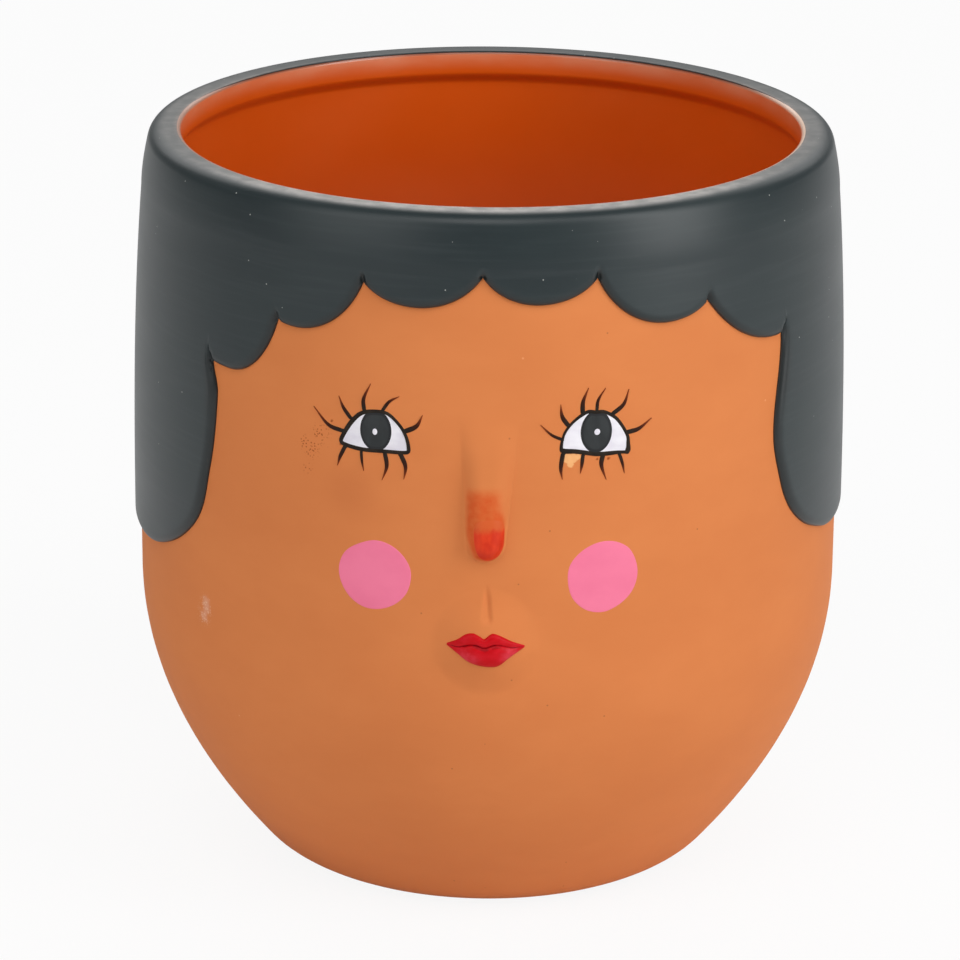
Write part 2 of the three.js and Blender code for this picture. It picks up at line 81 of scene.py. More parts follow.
# Glaze inside, with the soft step that it makes under the collar
GLAZE_LIFT = 0.9
GLAZE_BODY = 0.4
LIP_ROUND = 0.9
STEP_TOP = COLLAR_BOTTOM + 2.0
STEP_LOW = COLLAR_BOTTOM - 0.9

# Slate paint over the rim: its edge on the lip of the glaze, and further over the lip at the back
SLATE_EDGE = 0.06
SLATE_INNER = 0.75
SLATE_BACK = 0.6
RIM_EDGE = 70.5
RIM_CORNER = 3.0
RIM_LEAN = 13.0
LEAN_HEIGHT = 12.0
LEAN_STRAIGHT = 6.0
# Depth below the rim's top within which the slate turns paler towards its inner edge
PALE_RIM_DEPTH = 2.0

# Relief of the hair, and how far the hidden undersides of coats reach into what carries them
HAIR_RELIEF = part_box("hair")[1][0] / MM - BELLY_RADIUS
HEM_ROLL = 1.7
CREASE_LENGTH = 2.4
CREASE_HALF = 0.5
CREASE_DEPTH = 0.8
HAIR_ROOT = 0.4
HEM_SINK = 0.17
LEAST_LIFT = 0.05
FILM_ROOT = 0.08
FILM_SINK = 0.03

# Hair hem, close to the frame's: azimuth in degrees of each lobe's lowest point, how far it hangs below
# the rim, the same of the cusp at its right, the share of a quarter turn that a side sweeps, and a power
HAIR_LOBES = [
    (-79, 83.0, -49.2, 36.4, 0.98, 2.85),
    (-44.7, 37.0, -35.1, 24.5, 0.72, 2),
    (-31.4, 25.4, -20.1, 14.5, 0.72, 2),
    (-11.3, 18.7, -1.2, 12.3, 0.68, 2),
    (7.7, 17.8, 16.9, 13.0, 0.68, 2),
    (28.8, 23.3, 36.3, 20.2, 0.72, 2),
    (51.8, 31.3, 53.4, 31.0, 0.5, 2),
    (79, 79.1, 101, 70, 0.98, 2.85),
]
# Fuller inner side of each lock: where its edge is, its lowest and highest point, how far it swells to the
# right, and the share of its height, from the top, in which the swell grows
LOCKS = [
    (-62.5, 72.0, 119.0, 1.8, 0.15),
    (-62.5, 72.0, 96.0, 2.0, 0.6),
    (69.0, 75.9, 124.0, -4.6, 0.52),
    (69.0, 75.9, 96.0, -1.0, 0.6),
]
LOCK_TOE = 0.1
LOCK_FADE = 22.0
# Where dark paint has pooled in the upper inner corner of each lock, darkened further there as painted
# shade, how far round and how far from the hem
POOLS_AND_SHADE = [(-61.0, 112.5), (66.0, 114.5)]
POOL_AND_SHADE_SIZE = 8.0
POOL_AND_SHADE_EDGE = 3.4
POOL_AND_SHADE_FADE = 2.4
BACK_LOBES = 7
BACK_DROP = 81
BACK_CUSP_DROP = 70
BACK_SWEEP = 0.72
HEM_STEP = 0.5
HEM_WINDOW = 110

# Face
NOSE_MIDDLE = -0.55
NOSE_SLANT = 0.026
NOSE_TIP = 85.6
NOSE_CROWN = 90.2
NOSE_ROOT = 115.0
NOSE_HEIGHT = 3.55
NOSE_HALF = 3.9
NOSE_FLARE = 0.085
MOUTH = (-0.4, 68.6)
MOUND_HEIGHT = 2.6
MOUND_HALF = 11.0
MOUND_ABOVE = 12.0
MOUND_BELOW = 11.0
GROOVE_DEPTH = 0.6
GROOVE_TOP = 12.8
GROOVE_FOOT = 4.4
GROOVE_RIGHT = 0.75

# Camera
CAMERA_DISTANCE = 930.0
CAMERA_PITCH = math.radians(19.0)
CAMERA_ROLL = math.radians(0.45)
AIM = (-1.71, 0.0, 77.54)
FOCAL_PIXELS = 4407.9
IMAGE_PIXELS = 960
SENSOR = 36.0


def clamp01(value):
    return np.clip(value, 0.0, 1.0)


def smooth(value):
    t = clamp01(value)
    return t * t * (3 - 2 * t)


def arc(centre, radius, start, end, steps):
    """Points (r, z) on an arc, with angles in degrees."""
    angles = np.radians(np.linspace(start, end, steps + 1))
    return np.stack([centre[0] + radius * np.cos(angles), centre[1] + radius * np.sin(angles)], -1)


def through(points, per_span, closed=False):
    """Smooth curve through points, by Catmull and Rom's rule."""
    points = np.asarray(points, float)
    if closed:
        points = np.concatenate([points[-1:], points, points[:2]])
    else:
        points = np.concatenate([2 * points[:1] - points[1:2], points, 2 * points[-1:] - points[-2:-1]])
    t = np.arange(per_span)[:, None] / per_span
    spans = []
    for a, b, c, d in zip(points, points[1:], points[2:], points[3:]):
        bend = (2 * a - 5 * b + 4 * c - d) * t**2 + (3 * b - a - 3 * c + d) * t**3
        spans.append(b + 0.5 * ((c - a) * t + bend))
    curve = np.concatenate(spans)
    return curve if closed else np.concatenate([curve, points[-2:-1]])


def offset_path(path, distance):
    """Open path (r, z) moved to its right."""
    along = np.gradient(path, axis=0)
    along /= np.linalg.norm(along, axis=1, keepdims=True)
    return path + distance * np.stack([along[:, 1], -along[:, 0]], -1)


# The skin and the features modelled on it


def skin_radius(z):
    below = BELLY_RADIUS - (BELLY_RADIUS - FOOT_RADIUS) * (1 - z / BELLY_HEIGHT) ** 2
    rise = np.clip((z - BELLY_HEIGHT) / (POT_HEIGHT - BELLY_HEIGHT), 0, None)
    above = BELLY_RADIUS - (BELLY_RADIUS - RIM_RADIUS) * rise**RIM_TAPER
    return np.where(z < BELLY_HEIGHT, below, above)


def skin_offset(z, lift):
    """Profile points (r, z) at heights on the skin, lifted along its normal."""
    step = 0.01
    slope = (skin_radius(z + step) - skin_radius(z - step)) / (2 * step)
    length = np.sqrt(1 + slope**2)
    return np.stack([skin_radius(z) + lift / length, z - lift * slope / length], -1)


def nose_relief(u, z):
    half = NOSE_HALF + NOSE_FLARE * np.clip(z - NOSE_CROWN, 0, None)
    end = np.clip((NOSE_CROWN - z) / (NOSE_CROWN - NOSE_TIP), 0, None)
    middle = NOSE_MIDDLE + NOSE_SLANT * (z - NOSE_CROWN)
    reach = np.sqrt(((u - middle) / half) ** 2 + end**2)
    ridge = clamp01((NOSE_ROOT - z) / (NOSE_ROOT - NOSE_CROWN)) ** 0.9
    return NOSE_HEIGHT * ridge * clamp01(1 - reach**3) ** 1.2


def nose_wash(u, z):
    """Share of the thin orange wash over the nose, whose right edge is softer higher up."""
    left_edge = -4.8 + 1.4 * smooth((92.5 - z) / 6.0)
    right_edge = 3.5 - 1.6 * smooth((90.0 - z) / 4.0)
    right_soft = 0.9 + 2.3 * smooth((z - 94.5) / 4.0)
    across = smooth((u - left_edge) / 1.3) * smooth((right_edge - u) / right_soft)
    return across * smooth((101.9 - z) / 2.6) * smooth((z - 86.0) / 1.5)


UPPER_EDGE = through(
    [(-7.6, 0.4), (-5.4, 1.55), (-3.9, 2.7), (-2.4, 3.1), (-1.1, 2.55), (-0.25, 2.05),
     (0.6, 2.7), (1.4, 3.1), (2.8, 2.6), (5.2, 1.2), (7.7, 0.05)], 6)
MOUTH_LINE = through(
    [(-7.6, 0.25), (-5.1, 0.1), (-2.4, 0.8), (-0.1, 0.25), (2.0, 0.85), (5.3, -0.05), (7.7, -0.1)], 8)
LOWER_EDGE = through(
    [(-7.6, 0.1), (-5.4, -1.4), (-3.4, -2.9), (-1.4, -3.65), (1.0, -4.0), (2.6, -3.75),
     (4.7, -2.1), (7.7, -0.25)], 8)


def height_at(curve, x):
    return np.interp(x, curve[:, 0], curve[:, 1])


def mouth_relief(u, z):
    """Mound round the mouth, with the groove above the lips cut into it."""
    x = u - MOUTH[0]
    y = z - MOUTH[1]
    tall = np.where(y > 0, MOUND_ABOVE, MOUND_BELOW)
    mound = MOUND_HEIGHT * clamp01(1 - (x / MOUND_HALF) ** 2 - (y / tall) ** 2) ** 1.8
    fall = clamp01((12.4 - y) / 6.6)
    bottom = 0.1 + 0.5 * fall
    left_wall = 0.4 + 1.1 * fall
    across = np.where(x < bottom, (bottom - x) / left_wall, (x - bottom) / GROOVE_RIGHT)
    along = smooth((GROOVE_TOP - y) / 3.5) * smooth((y - GROOVE_FOOT) / 1.6)
    return mound - GROOVE_DEPTH * clamp01(1 - across) * along


def relief(u, z):
    return nose_relief(u, z) + mouth_relief(u, z)


def on_skin(u, z, lift=0.0):
    """Points in space over places on the skin, lifted off it and off the features modelled on it."""
    profile = skin_offset(np.asarray(z, float), relief(u, z) + lift)
    return turn(profile[..., 0], profile[..., 1], np.asarray(u) / BELLY_RADIUS)


def turn(r, z, angle):
    return np.stack(np.broadcast_arrays(r * np.sin(angle), -r * np.cos(angle), z), -1)


def place_of(node):
    """Place on the skin of a node's middle."""
    low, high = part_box(node)
    middle = (Vector(low) + Vector(high)) / 2 / MM
    return np.array([math.atan2(middle.x, -middle.y) * BELLY_RADIUS, middle.z])


# Meshes


def add_mesh(name, points, faces, attributes):
    mesh = bpy.data.meshes.new(name)
    mesh.from_pydata((points * MM).tolist(), [], faces)
    mesh.polygons.foreach_set("use_smooth", [True] * len(mesh.polygons))
    for key, values in attributes.items():
        layer = mesh.attributes.new(key, "FLOAT", "POINT")
        layer.data.foreach_set("value", np.asarray(values, np.float32).ravel())
    mesh.update()
    piece = bpy.data.objects.new(name, mesh)
    bpy.context.collection.objects.link(piece)
    return piece


def loft_faces(count, corners, ring, start=0):
    index = start + np.arange(count * corners).reshape(count, corners)
    here = index if ring else index[:-1]
    ahead = np.roll(index, -1, 0) if ring else index[1:]
    quads = np.stack([here, ahead, np.roll(ahead, -1, 1), np.roll(here, -1, 1)], -1)
    faces = quads.reshape(-1, 4).tolist()
    if not ring:
        first, last = start + count * corners, start + count * corners + 1
        for a, b in zip(index[0], np.roll(index[0], -1)):
            faces.append([first, int(a), int(b)])
        for a, b in zip(index[-1], np.roll(index[-1], -1)):
            faces.append([last, int(b), int(a)])
    return faces


def loft(name, lofts, ring, **attributes):
    """Piece of one or more closed surfaces, each through sections of equal numbers of corners.

    A ring of sections joins up with itself, and a row is closed by a fan at each end.
    """
    points, faces, values = [], [], {key: [] for key in attributes}
    start = 0
    for i, sections in enumerate(lofts):
        sections = np.asarray(sections)
        count, corners = sections.shape[:2]
        closed = ring[i]
        faces += loft_faces(count, corners, closed, start)
        layer = [sections.reshape(-1, 3)]
        if not closed:
            layer += [sections[0].mean(0)[None], sections[-1].mean(0)[None]]
        points += layer
        for key in attributes:
            value = np.broadcast_to(attributes[key][i], (count, corners))
            values[key].append(value.ravel())
            if not closed:
                values[key].append([value[0].mean(), value[-1].mean()])
        start += sum(len(part) for part in layer)
    joined = {key: np.concatenate(parts) for key, parts in values.items()}
    return add_mesh(name, np.concatenate(points), faces, joined)


def dress(piece, material, slot, body, *nodes):
    piece.data.materials.append(material)
    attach(piece, body)
    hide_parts(*nodes)


def face_columns():
    """Azimuths round the pot, close together across the nose and mouth."""
    fine = np.radians(np.arange(-8, 8.01, 0.2))
    ease = np.radians(np.concatenate([np.linspace(8, 18, 30)[1:], np.linspace(18, 30, 18)[1:]]))
    coarse = np.radians(np.linspace(30, 330, 120)[1:-1])
    return np.concatenate([-ease[::-1], fine, ease, coarse])


def face_rows():
    """Heights up the wall, close together across the mouth and nose."""
    return np.concatenate([
        np.linspace(FOOT_ROUND, 54, 30)[1:],
        np.arange(54.5, 72, 0.5),
        np.arange(72, 96, 0.3),
        np.arange(96, 114, 0.5),
        np.linspace(114, WALL_TOP, 16),
    ])


RIM_CENTRE = (skin_radius(WALL_TOP) - RIM_ROUND, WALL_TOP)
WALL_UNDER_COLLAR = skin_offset(np.array(COLLAR_BOTTOM), -WALL)[0]
COLLAR = min(WALL_UNDER_COLLAR - COLLAR_STEP, RIM_CENTRE[0] - RIM_FLAT - COLLAR_ROUND)
LIP_CENTRE = (COLLAR - GLAZE_LIFT + LIP_ROUND, POT_HEIGHT - SLATE_EDGE - LIP_ROUND)
HAIR_TOP = POT_HEIGHT - LEAN_HEIGHT


def bezier(start, corner, end, steps):
    """Points after the start of a curve that leaves and arrives along the lines to a corner."""
    t = np.linspace(0, 1, steps + 1)[1:, None]
    return (1 - t) ** 2 * start + 2 * t * (1 - t) * corner + t**2 * end


def floor_fillet(lift, steps):
    """Curve from the inside wall to the floor, for a surface lifted off the bare clay."""
    start = skin_offset(np.array(FILLET_TOP), -WALL - lift)
    corner = np.array([start[0] - FILLET_INSET, FLOOR_TOP + lift])
    return bezier(start, corner, corner - (FLOOR_FILLET, 0), steps)


def inside_path():
    """Bare inside of the body, from the top of the collar down to the drain hole."""
    return np.concatenate([
        arc((COLLAR + COLLAR_ROUND, RIM_TOP - COLLAR_ROUND), COLLAR_ROUND, 90, 180, 6),
        arc((COLLAR + COLLAR_ROUND, COLLAR_BOTTOM + COLLAR_ROUND), COLLAR_ROUND, 180, 240, 4),
        skin_offset(np.linspace(COLLAR_BOTTOM - STEP_GAP, FILLET_TOP, 60), -WALL),
        floor_fillet(0, 8),
        [(DRAIN_RADIUS, FLOOR_TOP)],
    ])


def pot_skin():
    """Body from the foot up over the face and the rim, down its inside and out through the drain hole."""
    foot_flat = FOOT_RADIUS - FOOT_ROUND
    turns = np.linspace(0, math.pi / 2, 10)
    foot_z = FOOT_ROUND * (1 - np.cos(turns))
    foot = np.stack([skin_radius(foot_z) - FOOT_ROUND * (1 - np.sin(turns)), foot_z], -1)
    heights = face_rows()
    ring_inside = foot_flat - FOOT_RING_WIDTH
    rest = np.concatenate([
        arc(RIM_CENTRE, RIM_ROUND, 0, 90, 6)[1:],
        inside_path(),
        [(DRAIN_RADIUS, FOOT_RECESS + SMALL_EDGE)],
        arc((DRAIN_RADIUS + SMALL_EDGE, FOOT_RECESS + SMALL_EDGE), SMALL_EDGE, 180, 270, 3)[1:],
        arc((ring_inside - RECESS_EDGE, FOOT_RECESS - RECESS_EDGE), RECESS_EDGE, 90, 0, 3),
        arc((ring_inside + SMALL_EDGE, SMALL_EDGE), SMALL_EDGE, 180, 270, 3),
        [(foot_flat - 1.0, 0.0)],
    ])
    angle = face_columns()[:, None]
    u = np.where(angle > math.pi, angle - 2 * math.pi, angle) * BELLY_RADIUS
    sections = np.concatenate([
        turn(foot[:, 0], foot[:, 1], angle),
        on_skin(u, heights[None, :]),
        turn(rest[:, 0], rest[:, 1], angle),
    ], 1)
    wash = np.zeros(sections.shape[:2])
    wash[:, len(foot):len(foot) + len(heights)] = nose_wash(u, heights[None, :])
    return loft("pot_skin", [sections], [True], nose_wash=[wash])


def glaze_coat():
    """Coat of glaze from its lip on the rim over the collar, down the wall and in to the drain hole."""
    columns = np.linspace(0, 2 * math.pi, 160, endpoint=False)[:, None]
    lift = -WALL - GLAZE_LIFT
    face = COLLAR - GLAZE_LIFT
    share = np.linspace(0, 1, 14)[1:]
    wall_r = skin_offset(np.array(STEP_LOW), lift)[0]
    step = np.stack([face + (wall_r - face) * smooth(share), STEP_TOP + (STEP_LOW - STEP_TOP) * share], -1)
    fillet = floor_fillet(GLAZE_LIFT, 12)
    visible = np.concatenate([
        arc(LIP_CENTRE, LIP_ROUND, 80, 180, 10),
        [(face, STEP_TOP)],
        step,
        skin_offset(np.linspace(STEP_LOW - STEP_GAP, FILLET_TOP, 70), lift),
        fillet,
        np.linspace(fillet[-1], (DRAIN_RADIUS + 0.4, FLOOR_TOP + GLAZE_LIFT), 10)[1:],
    ])
    hidden = offset_path(visible, -GLAZE_BODY)
    profile = np.concatenate([visible, hidden[::-1]])
    return loft("glaze_coat", [turn(profile[:, 0], profile[:, 1], columns)], [True])


# Hair


def lobe_side(lobe, cusp, cusp_drop, share):
    """Places (u, z) on one side of a lobe, at shares of the way from its lowest point to a cusp."""
    low, drop, _, _, sweep, power = lobe
    end = sweep * math.pi / 2
    across = np.sin(end * share)

    def rise(x):
        return 1 - (1 - x**power) ** (1 / power)

    angle = low + (cusp - low) * across / math.sin(end)
    fall = drop + (cusp_drop - drop) * rise(across) / rise(math.sin(end))
    return np.stack([np.radians(angle) * BELLY_RADIUS, POT_HEIGHT - fall], -1)


def even(path, step):
    """Path with its points moved to about equal steps."""
    run = np.concatenate([[0], np.cumsum(np.linalg.norm(np.diff(path, axis=0), axis=1))])
    places = np.linspace(0, run[-1], max(int(round(run[-1] / step)), 3) + 1)
    return np.stack([np.interp(places, run, path[:, i]) for i in range(2)], -1)


def hem():
    """Places (u, z) along the whole hem, evenly spaced between its cusps."""
    back_start = HAIR_LOBES[-1][2]
    pitch = (360 - 2 * back_start) / BACK_LOBES
    cusps = [back_start + pitch * (i + 1) for i in range(BACK_LOBES)]
    back = [(cusp - pitch / 2, BACK_DROP, cusp, BACK_CUSP_DROP, BACK_SWEEP, 2) for cusp in cusps]
    cusp = (-back_start, BACK_CUSP_DROP)
    pieces = []
    for lobe in HAIR_LOBES + back:
        for side, shares in ((cusp, np.linspace(1, 0, 200)), (lobe[2:4], np.linspace(0, 1, 200))):
            pieces.append(even(lobe_side(lobe, side[0], side[1], shares), HEM_STEP)[:-1])
        cusp = lobe[2:4]
    return np.concatenate(pieces)


def hem_distance(u, z, edge):
    """Distance from each place in a grid of columns over the hem to the nearest stretch of hem."""
    turn_length = 2 * math.pi * BELLY_RADIUS
    nearest = np.full(u.shape, 1e9)
    run = np.roll(edge, -1, 0) - edge
    run[:, 0] = (run[:, 0] + turn_length / 2) % turn_length - turn_length / 2
    for shift in range(-HEM_WINDOW, HEM_WINDOW + 1):
        start = np.roll(edge, shift, 0)[:, None]
        span = np.roll(run, shift, 0)[:, None]
        du = (u - start[..., 0] + turn_length / 2) % turn_length - turn_length / 2
        dz = z - start[..., 1]
        share = clamp01((du * span[..., 0] + dz * span[..., 1]) / (span**2).sum(-1))
        nearest = np.minimum(nearest, np.hypot(du - share * span[..., 0], dz - share * span[..., 1]))
    return nearest


def crease_share(u, z):
    """Share of the crease that runs up from each cusp of the fringe."""
    share = np.zeros(u.shape)
    for lobe in HAIR_LOBES[:-1]:
        across = (u - math.radians(lobe[2]) * BELLY_RADIUS) / CREASE_HALF
        above = (z - POT_HEIGHT + lobe[3]) / CREASE_LENGTH
        share = np.maximum(share, np.exp(-across**2) * smooth(1.6 * (1 - above)) * (above > -0.1))
    return share


def lock_swell(u, z):
    """Sideways shift of places on the hair that makes the inner sides of the locks fuller."""
    shift = np.zeros(u.shape)
    for edge, bottom, top, swell, shoulder in LOCKS:
        climb = (z - bottom) / (top - bottom)
        along = smooth(climb / LOCK_TOE) * smooth((1 - climb) / shoulder)
        inside = smooth(1 - (np.abs(u) - abs(edge)) / LOCK_FADE)
        shift += np.where(u * edge > 0, swell * along * inside, 0)
    return shift


def pooled_paint_and_shade(u, z, distance):
    """Share of the thick dark paint pooled in the upper inner corner of each lock, together with the
    painted shade there.
    """
    share = np.zeros(u.shape)
    for middle_u, middle_z in POOLS_AND_SHADE:
        near = np.exp(-((u - middle_u) / POOL_AND_SHADE_SIZE) ** 2 - ((z - middle_z) / POOL_AND_SHADE_SIZE) ** 2)
        share = np.maximum(share, near * smooth((POOL_AND_SHADE_EDGE - distance) / POOL_AND_SHADE_FADE))
    return share


def hair_lift(distance, crease):
    """Height of the hair over the skin, behind its rolled hem."""
    roll = HAIR_RELIEF * np.sqrt(clamp01(1 - (1 - clamp01(distance / HEM_ROLL)) ** 2))
    return np.maximum(roll - CREASE_DEPTH * crease, LEAST_LIFT) - HEM_SINK * (distance < 0.01)


def rim_over():
    """Hair's profile (r, z) from the top of its wall over the rim's edge to the lip of the glaze."""
    start = skin_offset(np.array(HAIR_TOP), HAIR_RELIEF)
    corner = arc((RIM_EDGE - RIM_CORNER, POT_HEIGHT - RIM_CORNER), RIM_CORNER, RIM_LEAN, 90, 9)
    bend = corner[0] + LEAN_STRAIGHT * np.array([math.tan(math.radians(RIM_LEAN)), -1])
    inner = LIP_CENTRE[0] - LIP_ROUND + SLATE_INNER
    flat = np.linspace(RIM_EDGE - RIM_CORNER, inner + 0.3, 6)[1:]
    return np.concatenate([
        bezier(start, bend, corner[0], 8)[:-1],
        corner,
        np.stack([flat, np.full(len(flat), POT_HEIGHT)], -1),
        [(inner + 0.2, POT_HEIGHT - 0.02), (inner, POT_HEIGHT - 0.1)],
    ])


# Heights of the rows of the hair over its hem, close together where it rolls
HEM_ROWS = np.array([0, 0.1, 0.25, 0.45, 0.7, 1.0, 1.35, 1.75, 2.2, 2.8, 3.6, 4.8, 6.6, 9.0])
FAR_FROM_HEM = 20.0


def hair_grid(edge):
    """Places (u, z) in columns from the hem up to where the hair leans in towards the rim."""
    room = HAIR_TOP - edge[:, 1:]
    close = edge[:, 1:] + HEM_ROWS * np.minimum(1, 0.6 * room / HEM_ROWS[-1])
    far = close[:, -1:] + (HAIR_TOP - close[:, -1:]) * np.linspace(0, 1, 15)[1:]
    z = np.concatenate([close, far], 1)
    return np.broadcast_to(edge[:, :1], z.shape), z


def hair_coat():
    """Raised hair from its hem up and over the rim to the lip of the glaze, with its hidden underside."""
    edge = hem()
    u, z = hair_grid(edge)
    distance = hem_distance(u, z, edge)
    crease = crease_share(u, z)
    lift = hair_lift(distance, crease)
    # Share of darker colour: painted shade along the creases above the cusps, and dark paint with painted
    # shade in the locks' upper inner corners
    dark = np.maximum(crease, pooled_paint_and_shade(u, z, distance))
    u = u + lock_swell(u, z)
    outside = on_skin(u, z, lift)

    over = rim_over()
    flat = RIM_EDGE - RIM_CORNER
    under = np.array([
        (over[-1, 0], over[-1, 1] - 0.2),
        (flat, POT_HEIGHT - 1.9),
        (RIM_CENTRE[0] + 0.7 * RIM_ROUND, WALL_TOP + 0.6 * RIM_ROUND),
        skin_offset(np.array(WALL_TOP), -HAIR_ROOT),
    ])
    angle = edge[:, :1] / BELLY_RADIUS
    further = SLATE_BACK * smooth((-np.cos(angle) - 0.15) / 0.5)
    over_r = over[:, 0] - further * clamp01((flat - over[:, 0]) / (flat - over[-1, 0]))
    under_r = under[:, 0] - further * np.array([1, 0, 0, 0])
    below = on_skin(u[:, ::4][:, ::-1], z[:, ::4][:, ::-1], -HAIR_ROOT)
    sections = np.concatenate([
        outside,
        turn(over_r, over[:, 1], angle),
        turn(under_r, under[:, 1], angle),
        below,
    ], 1)
    rows = z.shape[1]
    rest = np.zeros((len(edge), sections.shape[1] - rows))
    inward = clamp01((RIM_EDGE - over[:, 0]) / (RIM_EDGE - over[-1, 0]))
    # Share of a paler tone over the rim's top, growing towards its inner edge
    wear = np.zeros(sections.shape[1])
    wear[rows:rows + len(over)] = inward * (over[:, 1] > POT_HEIGHT - PALE_RIM_DEPTH)
    return loft(
        "hair_coat", [sections], [True],
        hem_distance=[np.concatenate([distance, rest + FAR_FROM_HEM], 1)],
        # dark_paint carries the painted shade of the creases and corners along with the pooled paint
        dark_paint=[np.concatenate([dark, rest], 1)],
        rim_wear=[wear[None, :]])


# Paint films of the face

FILM_REACHES = np.array([0.2, 0.4, 0.58, 0.74, 0.86, 0.93, 0.97, 0.99, 1.0])
UNDER_REACHES = np.array([1.0, 0.5])
STROKE_SHARES = np.array([-1, -0.92, -0.6, 0, 0.6, 0.92, 1])


def film(name, middle, outline, thickness, base=0.0):
    """Thin coat on the skin inside an outline, thinning out at its edge."""
    middle = np.asarray(middle, float)

    def ring(reach, lift):
        place = middle + reach * (outline - middle)
        return on_skin(place[:, 0], place[:, 1], lift)

    lifts = thickness * (1 - FILM_REACHES**14) - FILM_SINK * (FILM_REACHES == 1)
    top = [ring(reach, base + lift) for reach, lift in zip(FILM_REACHES, lifts)]
    under = [ring(reach, base - FILM_ROOT) for reach in UNDER_REACHES]
    reach = np.concatenate([FILM_REACHES, UNDER_REACHES])[:, None]
    return loft(name, [np.array(top + under)], [False], reach=[reach])


def stroke_sections(path, widths, thickness, closed):
    """Sections of a brush stroke along places on the skin, crowned across its width."""
    if closed:
        along = np.roll(path, -1, 0) - np.roll(path, 1, 0)
    else:
        along = np.gradient(path, axis=0)
    along /= np.linalg.norm(along, axis=1, keepdims=True)
    left = np.stack([-along[:, 1], along[:, 0]], -1)
    outward = np.abs(STROKE_SHARES)
    lifts = thickness * (1 - outward**5) - FILM_SINK * (outward == 1)
    places = path[:, None] + left[:, None] * (STROKE_SHARES[None, :, None] * widths[:, None, None] / 2)
    top = on_skin(places[..., 0], places[..., 1], lifts)
    under = places[:, ::-3]
    base = on_skin(under[..., 0], under[..., 1], -FILM_ROOT)
    return np.concatenate([base, top], 1)


def ellipse(middle, half_width, half_height, steps=64):
    angles = np.linspace(0, 2 * math.pi, steps, endpoint=False)
    return np.asarray(middle) + np.stack([half_width * np.cos(angles), half_height * np.sin(angles)], -1)


def inset(loop, distance):
    along = np.roll(loop, -1, 0) - np.roll(loop, 1, 0)
    along /= np.linalg.norm(along, axis=1, keepdims=True)
    return loop + distance * np.stack([-along[:, 1], along[:, 0]], -1)


# Each eye about its middle: the outer edge of its line, anticlockwise, with the line's width there,
# the iris and the highlight as middle and half axes, and the lashes as root, bend, tip and width.
EYES = {
    "left": {
        "outline": [
            (7.1, -3.1, 0.8), (6.5, -0.7, 0.7), (5.1, 1.6, 0.65), (2.6, 3.8, 0.7), (-0.1, 4.15, 0.7),
            (-3.2, 3.5, 0.9), (-5.5, 1.4, 1.0), (-7.3, -1.6, 0.95), (-7.7, -3.1, 0.9), (-6.7, -4.0, 0.9),
            (-2.9, -4.6, 0.9), (1.7, -4.5, 0.85), (5.7, -4.4, 0.8), (6.8, -4.1, 0.8),
        ],
        "iris": (0.0, -0.05, 3.26, 4.15),
        "highlight": (-0.15, -0.3, 0.5, 0.64),
        "lashes": [
            ((-6.9, -1.0), (-10.2, -0.1), (-13.4, 3.1), 0.9),
            ((-5.3, 1.8), (-6.9, 3.8), (-7.9, 6.0), 0.85),
            ((-2.5, 3.8), (-2.6, 6.1), (-1.2, 9.2), 0.9),
            ((1.3, 4.1), (2.7, 6.0), (4.7, 7.2), 0.7),
            ((5.7, 0.2), (8.2, 1.5), (9.4, 3.8), 1.05),
            ((-6.4, -4.0), (-7.5, -6.3), (-8.0, -8.1), 0.85),
            ((-3.0, -4.6), (-2.8, -6.7), (-2.4, -8.5), 0.6),
            ((1.9, -4.4), (2.3, -7.1), (1.4, -9.9), 0.95),
            ((5.1, -4.4), (6.1, -6.8), (5.8, -9.4), 1.0),
        ],
    },
    "right": {
        "outline": [
            (6.9, -4.2, 1.2), (6.8, -2.9, 0.9), (6.4, -0.8, 0.7), (4.2, 2.6, 0.7), (1.6, 4.3, 0.75),
            (-0.4, 4.5, 0.8), (-2.3, 4.6, 0.75), (-4.8, 3.0, 0.6), (-6.6, 1.0, 0.55), (-7.4, -1.0, 0.55),
            (-7.7, -3.0, 0.8), (-7.0, -3.8, 1.1), (-4.8, -3.95, 1.0), (-2.8, -4.3, 0.95),
            (-0.4, -4.8, 0.95), (2.0, -4.9, 0.95), (4.1, -4.8, 0.8), (5.5, -4.85, 0.7), (6.4, -5.0, 1.0),
        ],
        "iris": (-0.3, 0.2, 3.24, 4.25),
        "highlight": (-0.15, 0.15, 0.6, 0.62),
        "lashes": [
            ((-7.1, -1.0), (-9.3, 0.1), (-11.5, 2.2), 0.6),
            ((-6.0, 1.8), (-7.2, 3.7), (-7.5, 6.1), 0.95),
            ((-3.1, 4.1), (-3.0, 6.4), (-1.9, 9.1), 1.0),
            ((-0.2, 4.4), (0.1, 6.5), (1.6, 8.8), 0.7),
            ((3.0, 3.4), (5.4, 5.2), (6.5, 8.1), 0.95),
            ((6.1, -0.6), (8.7, -0.1), (11.4, 1.7), 1.0),
            ((-7.0, -3.7), (-7.4, -6.7), (-7.1, -9.0), 0.95),
            ((-3.0, -4.4), (-3.2, -6.3), (-3.5, -8.0), 0.8),
            ((1.1, -4.6), (0.8, -6.7), (1.8, -9.7), 1.05),
            ((4.5, -4.7), (5.2, -6.8), (5.6, -8.8), 0.7),
        ],
    },
}
WHITE_FILM = 0.10
IRIS_FILM = 0.05
HIGHLIGHT_FILM = 0.06
LINE_FILM = 0.20
LASH_FILM = 0.18
LASH_OVERLAP = 0.25
LASH_TIP = 0.1
CHEEK_FILM = 0.12
NOSE_FILM = 0.1


def lash_sections(middle, root, bend, tip, width):
    curve = through([root, bend, tip], 10) + middle
    curve[0] += LASH_OVERLAP * (middle - curve[0]) / np.linalg.norm(middle - curve[0])
    share = np.linspace(0, 1, len(curve))
    widths = width * (0.8 + 0.3 * np.sin(share * math.pi * 0.9)) * (1 - share**1.5) + LASH_TIP
    return stroke_sections(curve, widths, LASH_FILM, False), share


